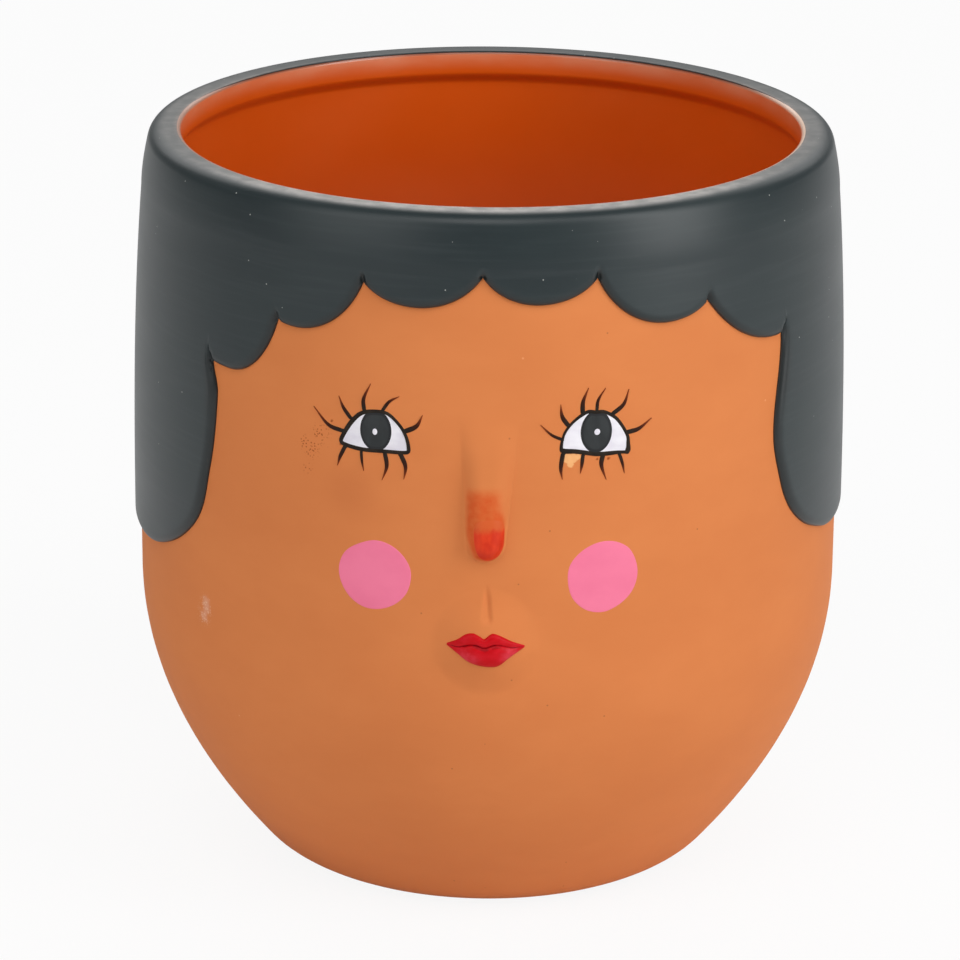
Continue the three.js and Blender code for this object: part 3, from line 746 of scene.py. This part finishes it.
def held_inside(loop, middle, fence):
    """Loop about a middle, drawn in where it would cross a fence round the same middle."""
    around = fence - middle
    bearing = np.arctan2(around[:, 1], around[:, 0])
    order = np.argsort(bearing)
    spokes = loop - middle
    length = np.linalg.norm(spokes, axis=1)
    reach = np.hypot(around[order, 0], around[order, 1])
    limit = np.interp(np.arctan2(spokes[:, 1], spokes[:, 0]), bearing[order], reach, period=2 * math.pi)
    return middle + spokes * np.minimum(1, limit / length)[:, None]


def paint_eye(side, shape, materials):
    middle = place_of("iris_" + side)
    drawn = through(shape["outline"], 8, True)
    outline, widths = drawn[:, :2] + middle, drawn[:, 2:]
    white = film("sclera_" + side, middle, inset(outline, widths * 0.6), WHITE_FILM)
    dress(white, materials["white"], "white_paint", "pot", "eye_white_" + side)

    line = stroke_sections(inset(outline, widths / 2), widths[:, 0], LINE_FILM, True)
    lofts, shares = [line], [np.zeros((1, 1))]
    for lash in shape["lashes"]:
        sections, share = lash_sections(middle, *lash)
        lofts.append(sections)
        shares.append(share[:, None])
    lids = loft("lid_line_" + side, lofts, [True] + [False] * (len(lofts) - 1), along=shares)
    dress(lids, materials["ink"], "dark_paint", "pot", "eye_line_" + side)

    x, y, half_width, half_height = shape["iris"]
    iris_middle = middle + (x, y)
    fence = inset(outline, widths * 0.7)
    iris = held_inside(ellipse(iris_middle, half_width, half_height), iris_middle, fence)
    eye = film("iris_paint_" + side, iris_middle, iris, IRIS_FILM, WHITE_FILM)
    dress(eye, materials["iris"], "dark_paint", "pot", "iris_" + side)

    x, y, half_width, half_height = shape["highlight"]
    glint = middle + (x, y)
    glint_edge = ellipse(glint, half_width, half_height, 24)
    spot = film("glint_" + side, glint, glint_edge, HIGHLIGHT_FILM, WHITE_FILM + IRIS_FILM)
    dress(spot, materials["white"], "white_paint", "pot", "eye_highlight_" + side)


LIP_FILM = 0.12
LIP_ROOT = 0.1
LIP_SINK = 0.04
LIP_ENDS = (-7.5, 7.6)
UPPER_FULL = 0.5
LOWER_FULL = 0.8


def lip_film(name, edge, full):
    """Coat of paint on one full lip, from the line between the lips to the lip's edge."""
    x = np.linspace(*LIP_ENDS, 90)
    shares = np.concatenate([[0], np.linspace(0.03, 0.98, 15), [1]])
    line = height_at(MOUTH_LINE, x)
    y = line[:, None] + (height_at(edge, x) - line)[:, None] * shares
    from_end = smooth((LIP_ENDS[1] - np.abs(x)) / 5)[:, None]
    swell = full * from_end * np.sqrt(clamp01(1 - (2 * shares - 1) ** 2))
    lifts = LIP_FILM * (1 - shares**10) - LIP_SINK * (shares == 1) + swell
    u = np.broadcast_to(x[:, None], y.shape) + MOUTH[0]
    z = y + MOUTH[1]
    crown = on_skin(u, z, lifts)
    base = on_skin(u[:, ::-8], z[:, ::-8], -LIP_ROOT)
    sections = np.concatenate([crown, base], 1)
    from_line = np.concatenate([shares, shares[::-8]])
    if edge is LOWER_EDGE:
        sections = sections[:, ::-1]
        from_line = from_line[::-1]
    return loft(name, [sections], [False], from_line=[from_line[None, :]])


# Places round the red on the nose's tip and round each cheek, the cheeks about their middles
NOSE_PAINT_MIDDLE = (0.2, 90.0)
NOSE_PAINT = [
    (3.1, 91.5), (2.9, 94.2), (1.4, 95.2), (-1.2, 95.1), (-2.6, 94.0), (-2.75, 91.6), (-2.4, 89.2),
    (-1.6, 87.3), (-0.2, 86.4), (1.3, 86.6), (2.4, 87.7), (2.95, 89.4),
]
CHEEKS = {
    "left": [(7.4, 0.7), (6.4, 3.7), (3.8, 6.2), (0.4, 7.2), (-3.0, 6.3), (-6.1, 4.3), (-7.6, 1.2),
             (-7.3, -2.1), (-5.4, -5.2), (-2.4, -7.0), (0.9, -7.1), (4.2, -5.7), (6.6, -3.0)],
    "right": [(7.4, -0.9), (7.1, 2.3), (5.4, 5.4), (2.2, 7.1), (-1.2, 7.1), (-4.4, 5.6), (-6.7, 2.9),
              (-7.1, -0.5), (-6.1, -4.1), (-3.4, -6.7), (0.2, -7.5), (3.6, -6.3), (6.2, -4.0)],
}


# Materials


def srgb(red, green, blue):
    def linear(value):
        value /= 255
        return value / 12.92 if value <= 0.04045 else ((value + 0.055) / 1.055) ** 2.4

    return (linear(red), linear(green), linear(blue), 1.0)


class Finish:
    """A Principled material whose colour, roughness and bump are put together from nodes."""

    def __init__(self, name, **constants):
        self.material = bpy.data.materials.new(name)
        self.material.use_nodes = True
        self.tree = self.material.node_tree
        self.shader = self.tree.nodes["Principled BSDF"]
        for socket, value in constants.items():
            self.shader.inputs[socket.replace("_", " ")].default_value = value
        self.coordinates = self.node("ShaderNodeTexCoord").outputs["Object"]

    def feed(self, socket, value):
        if isinstance(value, bpy.types.NodeSocket):
            self.tree.links.new(value, socket)
        else:
            socket.default_value = value

    def node(self, kind, inputs=None, **settings):
        node = self.tree.nodes.new(kind)
        for key, value in settings.items():
            setattr(node, key, value)
        for key, value in (inputs or {}).items():
            self.feed(node.inputs[key], value)
        return node

    def noise(self, size, stretch=(1, 1, 1), detail=3.0, roughness=0.5):
        """Noise from 0 to 1 with blobs of about a size in millimetres, times a stretch along each axis."""
        scale = [1 / (size * MM * share) for share in stretch]
        mapped = self.node("ShaderNodeMapping", {"Vector": self.coordinates, "Scale": scale})
        inputs = {"Vector": mapped.outputs[0], "Scale": 1.0, "Detail": detail, "Roughness": roughness}
        return self.node("ShaderNodeTexNoise", inputs).outputs["Fac"]

    def ramp(self, value, low, high, first=0.0, last=1.0):
        inputs = {"Value": value, "From Min": low, "From Max": high, "To Min": first, "To Max": last}
        return self.node("ShaderNodeMapRange", inputs, interpolation_type="SMOOTHSTEP").outputs["Result"]

    def math(self, operation, first, second):
        return self.node("ShaderNodeMath", {0: first, 1: second}, operation=operation).outputs[0]

    def mix(self, amount, first, second):
        return self.node("ShaderNodeMix", {0: amount, 6: first, 7: second}, data_type="RGBA").outputs[2]

    def coordinate(self, axis):
        return self.node("ShaderNodeSeparateXYZ", {0: self.coordinates}).outputs[axis]

    def attribute(self, name):
        return self.node("ShaderNodeAttribute", attribute_name=name).outputs["Fac"]

    def specks(self, spacing, radius, share):
        """Round dots, one in some of the cells of a random net."""
        scale = 1 / (spacing * MM)
        cells = self.node("ShaderNodeTexVoronoi", {"Vector": self.coordinates, "Scale": scale})
        near = self.ramp(cells.outputs["Distance"], radius / spacing, 0.6 * radius / spacing)
        red = self.node("ShaderNodeSeparateColor", {0: cells.outputs["Color"]}).outputs[0]
        return self.math("MULTIPLY", near, self.math("GREATER_THAN", red, 1 - share))

    def spot(self, place, radius, soft, ragged=0.0, size=1.0):
        """Mask round a place on the skin, with an edge that noise makes uneven."""
        point = on_skin(place[0], place[1]) * MM
        ends = {0: self.coordinates, 1: point.tolist()}
        distance = self.node("ShaderNodeVectorMath", ends, operation="DISTANCE").outputs["Value"]
        if ragged:
            wave = self.math("MULTIPLY_ADD", self.noise(size, detail=4.0), ragged * 2 * MM)
            wave.node.inputs[2].default_value = -ragged * MM
            distance = self.math("ADD", distance, wave)
        return self.ramp(distance, (radius + soft) * MM, (radius - soft) * MM)

    def finish(self, colour, roughness=None, height=None, strength=0.2, depth=0.2):
        self.feed(self.shader.inputs["Base Color"], colour)
        if roughness is not None:
            self.feed(self.shader.inputs["Roughness"], roughness)
        if height is not None:
            inputs = {"Height": height, "Strength": strength, "Distance": depth * MM}
            self.feed(self.shader.inputs["Normal"], self.node("ShaderNodeBump", inputs).outputs["Normal"])
        return self.material


# Wear of the skin as dusty patches and single marks, each as place, radius and colour, and a pale smear;
# and the middle of a painted shade between the left eye and the cheek
CHIP = (242, 180, 120)
DOT = (146, 60, 22)
SCUFF = (236, 188, 156)
DUST = [
    ((-37.4, 106.3), 1.1, DOT), ((-38.2, 107.0), 0.9, DOT), ((-35.8, 107.5), 1.3, DOT),
    ((-34.2, 109.3), 1.4, DOT), ((-36.2, 105.2), 1.1, DOT), ((-37.2, 101.6), 0.8, DOT),
    ((-65.2, 66.7), 1.3, SCUFF), ((-65.3, 65.3), 1.6, SCUFF), ((-66.0, 63.8), 1.6, SCUFF),
]
MARKS = [
    ((15.3, 106.5), 0.95, CHIP), ((16.5, 106.5), 0.95, CHIP),
    ((17.6, 106.8), 0.55, CHIP), ((16.0, 105.4), 0.7, CHIP),
    ((-31.9, 112.0), 0.22, DOT), ((-29.9, 107.6), 0.24, DOT),
    ((21.5, 106.0), 0.24, DOT), ((23.8, 105.9), 0.28, DOT),
]
LEFT_CHEEK_SHADE = (-27.7, 98.5)
SMEARS = [(-65.1, 66.9), (-65.0, 65.4), (-65.9, 63.6)]


def skin_material():
    skin = Finish("terracotta_skin", Specular_IOR_Level=0.1)
    broad = skin.noise(26, (1.3, 1.3, 0.8), 4.0)
    cloud = skin.noise(4, (2.0, 2.0, 1.0), 4.0)
    colour = skin.mix(skin.ramp(broad, 0.3, 0.7), srgb(216, 128, 73), srgb(221, 133, 77))
    colour = skin.mix(skin.ramp(cloud, 0.35, 0.75, 0, 0.15), colour, srgb(210, 120, 67))
    ragged = skin.math("MULTIPLY", skin.noise(1.2, detail=4.0), 0.9)
    wash = skin.math("MULTIPLY", skin.attribute("nose_wash"), skin.math("ADD", ragged, 0.45))
    colour = skin.mix(wash, colour, srgb(212, 92, 42))
    colour = skin.mix(skin.math("MULTIPLY", skin.specks(6, 0.24, 0.35), 0.5), colour, srgb(150, 84, 48))
    colour = skin.mix(skin.math("MULTIPLY", skin.specks(8, 0.3, 0.3), 0.5), colour, srgb(238, 176, 126))
    for place in SMEARS:
        smear = skin.math("MULTIPLY", skin.spot(place, 1.0, 0.7, 0.5, 0.8), 0.6)
        colour = skin.mix(smear, colour, srgb(226, 166, 138))
    for place, radius, shade in DUST:
        dust = skin.math("MULTIPLY", skin.spot(place, radius, radius), skin.specks(0.45, 0.19, 0.7))
        colour = skin.mix(skin.math("MULTIPLY", dust, 0.85), colour, srgb(*shade))
    for place, radius, shade in MARKS:
        marked_share = skin.math("MULTIPLY", skin.spot(place, radius, 0.15, 0.35, 0.7), 0.9)
        colour = skin.mix(marked_share, colour, srgb(*shade))
    # A soft darker patch between the left eye and the cheek: painted shade
    colour = skin.mix(skin.math("MULTIPLY", skin.spot(LEFT_CHEEK_SHADE, 4.0, 4.0), 0.2), colour, srgb(176, 92, 52))
    grain = skin.math("ADD", skin.noise(0.6, detail=4.0), skin.math("MULTIPLY", cloud, 1.5))
    roughness = skin.ramp(broad, 0.2, 0.8, 0.6, 0.7)
    return skin.finish(colour, roughness, grain, 0.1, 0.06)


def hair_material():
    hair = Finish("slate_paint", Specular_IOR_Level=0.5)
    broad = hair.noise(22, (2, 2, 0.8), 4.0)
    streak = hair.noise(1.4, (16, 16, 0.8), 4.0)
    colour = hair.mix(hair.ramp(broad, 0.3, 0.7), srgb(26, 38, 41), srgb(32, 44, 46))
    colour = hair.mix(hair.ramp(streak, 0.45, 0.75, 0, 0.18), colour, srgb(58, 66, 68))
    # Darker towards the hem and in the locks' upper inner corners, partly darker paint and partly painted
    # shade, and darker along the creases above the cusps as painted shade
    edge = hair.ramp(hair.attribute("hem_distance"), 2.0, 0.5, 0, 0.7)
    dark = hair.math("MAXIMUM", edge, hair.math("MULTIPLY", hair.attribute("dark_paint"), 0.9))
    colour = hair.mix(dark, colour, srgb(20, 24, 24))
    colour = hair.mix(hair.specks(3.5, 0.16, 0.6), colour, srgb(176, 178, 174))
    # The rim's top turns paler in patches towards its inner edge, most at the front and least at the back,
    # and palest, a pale cream, at the very edge
    inward = hair.attribute("rim_wear")
    front = hair.ramp(hair.coordinate("Y"), -25 * MM, -60 * MM, 0.3, 0.95)
    patchy = hair.ramp(hair.noise(3, detail=5.0), 0.3, 0.75, 0.55, 1.0)
    back = hair.ramp(hair.coordinate("Y"), 60 * MM, 20 * MM, 0.1, 1.0)
    marked_share = hair.ramp(inward, 0.22, 0.62)
    for share in (front, patchy, back):
        marked_share = hair.math("MULTIPLY", marked_share, share)
    tone = hair.mix(hair.ramp(inward, 0.8, 1.0), srgb(184, 179, 174), srgb(222, 202, 190))
    colour = hair.mix(marked_share, colour, tone)
    roughness = hair.ramp(broad, 0.2, 0.8, 0.36, 0.42)
    return hair.finish(colour, roughness, hair.math("ADD", streak, hair.noise(0.7)), 0.1, 0.06)


def glaze_material():
    glaze = Finish("orange_glaze", Specular_IOR_Level=0.5, Coat_Weight=0.5, Coat_Roughness=0.14)
    broad = glaze.noise(28, (1, 1, 0.6), 3.0)
    colour = glaze.mix(broad, srgb(214, 86, 8), srgb(224, 96, 16))
    # Paler and hazier lower down the inside: a painted reflection
    painted_reflection = glaze.ramp(glaze.coordinate("Z"), 140 * MM, 105 * MM, 0, 0.5)
    colour = glaze.mix(painted_reflection, colour, srgb(218, 106, 62))
    # A paler, uneven band from the step under the collar up to the lip: a painted sheen
    toward_top = glaze.ramp(glaze.coordinate("Z"), STEP_TOP * MM, (POT_HEIGHT - 0.6) * MM, 0, 0.85)
    uneven = glaze.math("MULTIPLY", toward_top, glaze.ramp(glaze.noise(16, (1, 1, 0.4)), 0.3, 0.7, 0.45, 1.0))
    colour = glaze.mix(uneven, colour, srgb(228, 150, 112))
    # The lip's very edge: pale cream towards the front and the right, a painted highlight, and dark brown
    # at the back, a painted shadow
    edge = glaze.ramp(glaze.coordinate("Z"), (POT_HEIGHT - 0.95) * MM, (POT_HEIGHT - 0.4) * MM, 0, 0.9)
    front = glaze.ramp(glaze.coordinate("Y"), 45 * MM, 10 * MM)
    right = glaze.ramp(glaze.coordinate("X"), -64 * MM, -20 * MM, 0.3, 1.0)
    lip = glaze.mix(glaze.math("MULTIPLY", front, right), srgb(124, 66, 40), srgb(242, 208, 182))
    colour = glaze.mix(edge, colour, lip)
    roughness = glaze.ramp(broad, 0.2, 0.8, 0.3, 0.42)
    return glaze.finish(colour, roughness, glaze.noise(7, detail=2.0), 0.08, 0.2)


def paint_material(name, dark, light, roughness, grain=2.5, stretch=(1.6, 1.6, 1)):
    """Brushed craft paint between two shades."""
    paint = Finish(name, Specular_IOR_Level=0.25)
    brush = paint.noise(grain, stretch, 4.0)
    colour = paint.mix(paint.ramp(brush, 0.3, 0.7), dark, light)
    rough = paint.ramp(brush, 0.2, 0.8, roughness - 0.06, roughness + 0.06)
    return paint.finish(colour, rough, brush, 0.12, 0.06)


def ink_material():
    ink = Finish("ink_line", Specular_IOR_Level=0.1)
    brush = ink.noise(1.5, detail=4.0)
    colour = ink.mix(ink.ramp(brush, 0.3, 0.7), srgb(34, 28, 24), srgb(48, 40, 33))
    along = ink.attribute("along")
    colour = ink.mix(ink.ramp(along, 0.05, 0.5, 0, 0.8), colour, srgb(56, 24, 12))
    colour = ink.mix(ink.ramp(along, 0.45, 1.0, 0, 0.9), colour, srgb(136, 58, 24))
    return ink.finish(colour, ink.ramp(brush, 0.2, 0.8, 0.5, 0.6), brush, 0.1, 0.05)


def iris_material():
    iris = Finish("iris_paint", Specular_IOR_Level=0.4)
    brush = iris.noise(2, (1, 1, 3), 4.0)
    colour = iris.mix(iris.ramp(brush, 0.3, 0.7), srgb(30, 34, 36), srgb(42, 46, 48))
    ring = iris.ramp(iris.attribute("reach"), 0.8, 0.88)
    colour = iris.mix(ring, colour, srgb(18, 20, 24))
    return iris.finish(colour, iris.ramp(brush, 0.2, 0.8, 0.4, 0.5), brush, 0.1, 0.05)


# Places on the lower lip that carry a painted highlight
LIP_HIGHLIGHTS = [(-4.4, 67.0), (-2.6, 66.6), (3.4, 67.2), (4.6, 67.4)]


def lip_material():
    lip = Finish("lip_red", Specular_IOR_Level=0.12)
    brush = lip.noise(1.6, (1.6, 1.6, 0.8), 4.0)
    colour = lip.mix(lip.ramp(brush, 0.35, 0.75), srgb(196, 8, 20), srgb(207, 20, 34))
    # Pale pink patches on the lower lip: painted highlights
    for place in LIP_HIGHLIGHTS:
        painted_highlight = lip.math("MULTIPLY", lip.spot(place, 1.1, 0.9, 0.9, 0.9), 0.45)
        colour = lip.mix(painted_highlight, colour, srgb(228, 76, 92))
    uneven = lip.ramp(lip.noise(2.2, (1, 1, 0.5)), 0.35, 0.65, -0.06, 0.12)
    seam = lip.ramp(lip.math("ADD", lip.attribute("from_line"), uneven), 0.16, 0.03, 0, 0.6)
    colour = lip.mix(seam, colour, srgb(124, 4, 14))
    return lip.finish(colour, lip.ramp(brush, 0.2, 0.8, 0.35, 0.5), brush, 0.15, 0.08)


def nose_red_material():
    """Red of the nose's tip, thinning upwards into the orange wash."""
    red = Finish("nose_red", Specular_IOR_Level=0.2)
    brush = red.noise(1.4, (1.2, 1.2, 2.0), 4.0)
    colour = red.mix(red.ramp(brush, 0.3, 0.7), srgb(206, 46, 16), srgb(222, 62, 26))
    ragged = red.math("MULTIPLY", brush, 2.4 * MM)
    toward_top = red.ramp(red.math("ADD", red.coordinate("Z"), ragged), 93.6 * MM, 95.2 * MM)
    colour = red.mix(toward_top, colour, srgb(212, 92, 42))
    return red.finish(colour, red.ramp(brush, 0.2, 0.8, 0.42, 0.55), brush, 0.12, 0.06)


def rubber_material():
    rubber = Finish("plug_rubber", Specular_IOR_Level=0.4)
    grain = rubber.noise(1.2, detail=5.0)
    colour = rubber.mix(grain, srgb(58, 54, 51), srgb(80, 75, 71))
    return rubber.finish(colour, rubber.ramp(grain, 0.2, 0.8, 0.6, 0.8), grain, 0.25, 0.15)


# The plug

PLUG_STEM_LENGTH = 8.0
PLUG_CLEARANCE = 0.3
PLUG_NECK = 2.6
PLUG_KNOB = (4.6, 1.5)


def stopper():
    """Plug turned from the middle of its knob, over neck and flange, to the end of its tapering stem."""
    low, high = (np.array(corner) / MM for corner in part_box("drain_plug"))
    bottom, top, flange = low[2], high[2], high[0]
    seat = bottom + PLUG_STEM_LENGTH
    stem = DRAIN_RADIUS - PLUG_CLEARANCE
    swing = np.linspace(0.2, 2.3, 16)
    knob = np.stack([np.sin(swing), np.cos(swing) - 1], -1) * PLUG_KNOB + (0, top)
    profile = np.concatenate([
        [(0.4, top)],
        knob,
        arc((PLUG_NECK + 1.0, seat + 3.4), 1.0, 150, 270, 6),
        arc((flange - 0.8, seat + 1.2), 0.8, 90, 0, 6),
        arc((flange - 0.5, seat + 0.5), 0.5, 0, -90, 5),
        [(stem + 0.3, seat), (stem, seat - 0.4)],
        np.linspace((stem, seat - 0.4), (stem - 0.8, bottom + 0.8), 6)[1:],
        arc((stem - 1.6, bottom + 0.8), 0.8, 0, -90, 5)[1:],
    ])
    angles = np.linspace(0, 2 * math.pi, 64, endpoint=False)
    return loft("stopper", [turn(profile[:, :1], profile[:, 1:], angles)], [False])


# Stage

# Shares of plain white in the floor as the camera sees it and as gloss and glass mirror it
SEEN_WHITE = 0.9
MIRRORED_WHITE = 0.3
FLOOR_HALF = 6.0
FLOOR_STEPS = 12
WORLD_LIGHT = 0.24

# Softboxes: bearing in degrees from the camera towards the right, then in metres how far out and how high
# each stands, the height that it aims at, its width and height, and then its power in watts
SOFTBOXES = {
    "key": (58, 1.0, 0.85, 0.85, (0.5, 1.5), 9.6),
    "fill": (-43, 1.0, 0.95, 0.95, (0.7, 1.5), 5.2),
    "front_top": (0, 0.9, 1.25, 0.1, (0.7, 0.7), 4.3),
    "backdrop": (177, 1.3, 1.2, 0.4, (2.8, 1.2), 14.5),
}


def add_camera():
    data = bpy.data.cameras.new("photo_camera")
    data.sensor_width = SENSOR
    data.lens = FOCAL_PIXELS * SENSOR / IMAGE_PIXELS
    camera = bpy.data.objects.new("photo_camera", data)
    aim = Vector(AIM) * MM
    away = Vector((0, -math.cos(CAMERA_PITCH), math.sin(CAMERA_PITCH)))
    camera.location = aim + away * CAMERA_DISTANCE * MM
    turned = (-away).to_track_quat("-Z", "Y") @ Quaternion((0, 0, 1), CAMERA_ROLL)
    camera.rotation_mode = "QUATERNION"
    camera.rotation_quaternion = turned
    bpy.context.collection.objects.link(camera)
    bpy.context.scene.camera = camera


def add_softbox(name, bearing, distance, height, aim_height, size, power):
    data = bpy.data.lights.new(name, "AREA")
    data.shape = "RECTANGLE"
    data.size, data.size_y = size
    data.energy = power
    lamp = bpy.data.objects.new(name, data)
    angle = math.radians(bearing)
    place = Vector((distance * math.sin(angle), -distance * math.cos(angle), height))
    lamp.location = place
    aim = Vector((0, 0, aim_height)) - place
    lamp.rotation_euler = aim.to_track_quat("-Z", "Y").to_euler()
    bpy.context.collection.objects.link(lamp)


def set_world(strength):
    world = bpy.data.worlds.new("studio")
    world.use_nodes = True
    bpy.context.scene.world = world
    light = world.node_tree.nodes["Background"]
    light.inputs["Color"].default_value = (1, 1, 1, 1)
    light.inputs["Strength"].default_value = strength


def add_floor():
    row = FLOOR_STEPS + 1
    side = np.linspace(-FLOOR_HALF, FLOOR_HALF, row)
    points = np.array([(x, y, 0) for y in side for x in side])
    corners = [j * row + i for j in range(FLOOR_STEPS) for i in range(FLOOR_STEPS)]
    faces = [[first, first + 1, first + row + 1, first + row] for first in corners]
    floor = add_mesh("studio_floor", points / MM, faces, {})
    material = bpy.data.materials.new("white_floor")
    material.use_nodes = True
    tree = material.node_tree
    tree.nodes.remove(tree.nodes["Principled BSDF"])
    lit = tree.nodes.new("ShaderNodeBsdfDiffuse")
    lit.inputs["Color"].default_value = (0.85, 0.85, 0.85, 1)
    glow = tree.nodes.new("ShaderNodeEmission")
    glow.inputs["Color"].default_value = (1, 1, 1, 1)
    path = tree.nodes.new("ShaderNodeLightPath")

    def larger(first, second):
        node = tree.nodes.new("ShaderNodeMath")
        node.operation = "MAXIMUM"
        tree.links.new(first, node.inputs[0])
        tree.links.new(second, node.inputs[1])
        return node.outputs[0]

    def scaled(value, factor):
        node = tree.nodes.new("ShaderNodeMath")
        node.operation = "MULTIPLY"
        tree.links.new(value, node.inputs[0])
        node.inputs[1].default_value = factor
        return node.outputs[0]

    mirrored = larger(path.outputs["Is Glossy Ray"], path.outputs["Is Transmission Ray"])
    seen = larger(scaled(path.outputs["Is Camera Ray"], SEEN_WHITE), scaled(mirrored, MIRRORED_WHITE))
    mix = tree.nodes.new("ShaderNodeMixShader")
    tree.links.new(seen, mix.inputs[0])
    tree.links.new(lit.outputs[0], mix.inputs[1])
    tree.links.new(glow.outputs[0], mix.inputs[2])
    tree.links.new(mix.outputs[0], tree.nodes["Material Output"].inputs["Surface"])
    floor.data.materials.append(material)


# The pieces

add_camera()
dress(pot_skin(), skin_material(), "terracotta", "pot", "pot_body", "nose")
dress(glaze_coat(), glaze_material(), "orange_glaze", "pot", "glaze_lining")
dress(hair_coat(), hair_material(), "slate_paint", "pot", "hair")

white = paint_material("white_paint", srgb(226, 222, 232), srgb(240, 238, 244), 0.45)
inks = {"white": white, "ink": ink_material(), "iris": iris_material()}
pink = paint_material("pink_paint", srgb(242, 120, 154), srgb(247, 127, 160), 0.6, 6.0)
for side, shape in EYES.items():
    paint_eye(side, shape, inks)
    cheek = place_of("cheek_" + side)
    blush = film("blush_" + side, cheek, through(CHEEKS[side], 8, True) + cheek, CHEEK_FILM)
    dress(blush, pink, "pink_paint", "pot", "cheek_" + side)

lips = lip_material()
dress(lip_film("upper_lip_paint", UPPER_EDGE, UPPER_FULL), lips, "lip_red", "pot", "upper_lip")
dress(lip_film("lower_lip_paint", LOWER_EDGE, LOWER_FULL), lips, "lip_red", "pot", "lower_lip")
tip = film("nose_paint", NOSE_PAINT_MIDDLE, through(NOSE_PAINT, 6, True), NOSE_FILM)
dress(tip, nose_red_material(), "nose_red", "pot", "nose_tip")
dress(stopper(), rubber_material(), "rubber", "plug", "drain_plug")

add_floor()
set_world(WORLD_LIGHT)
for name, setting in SOFTBOXES.items():
    add_softbox(name, *setting)

bpy.context.scene.view_settings.view_transform = "Standard"
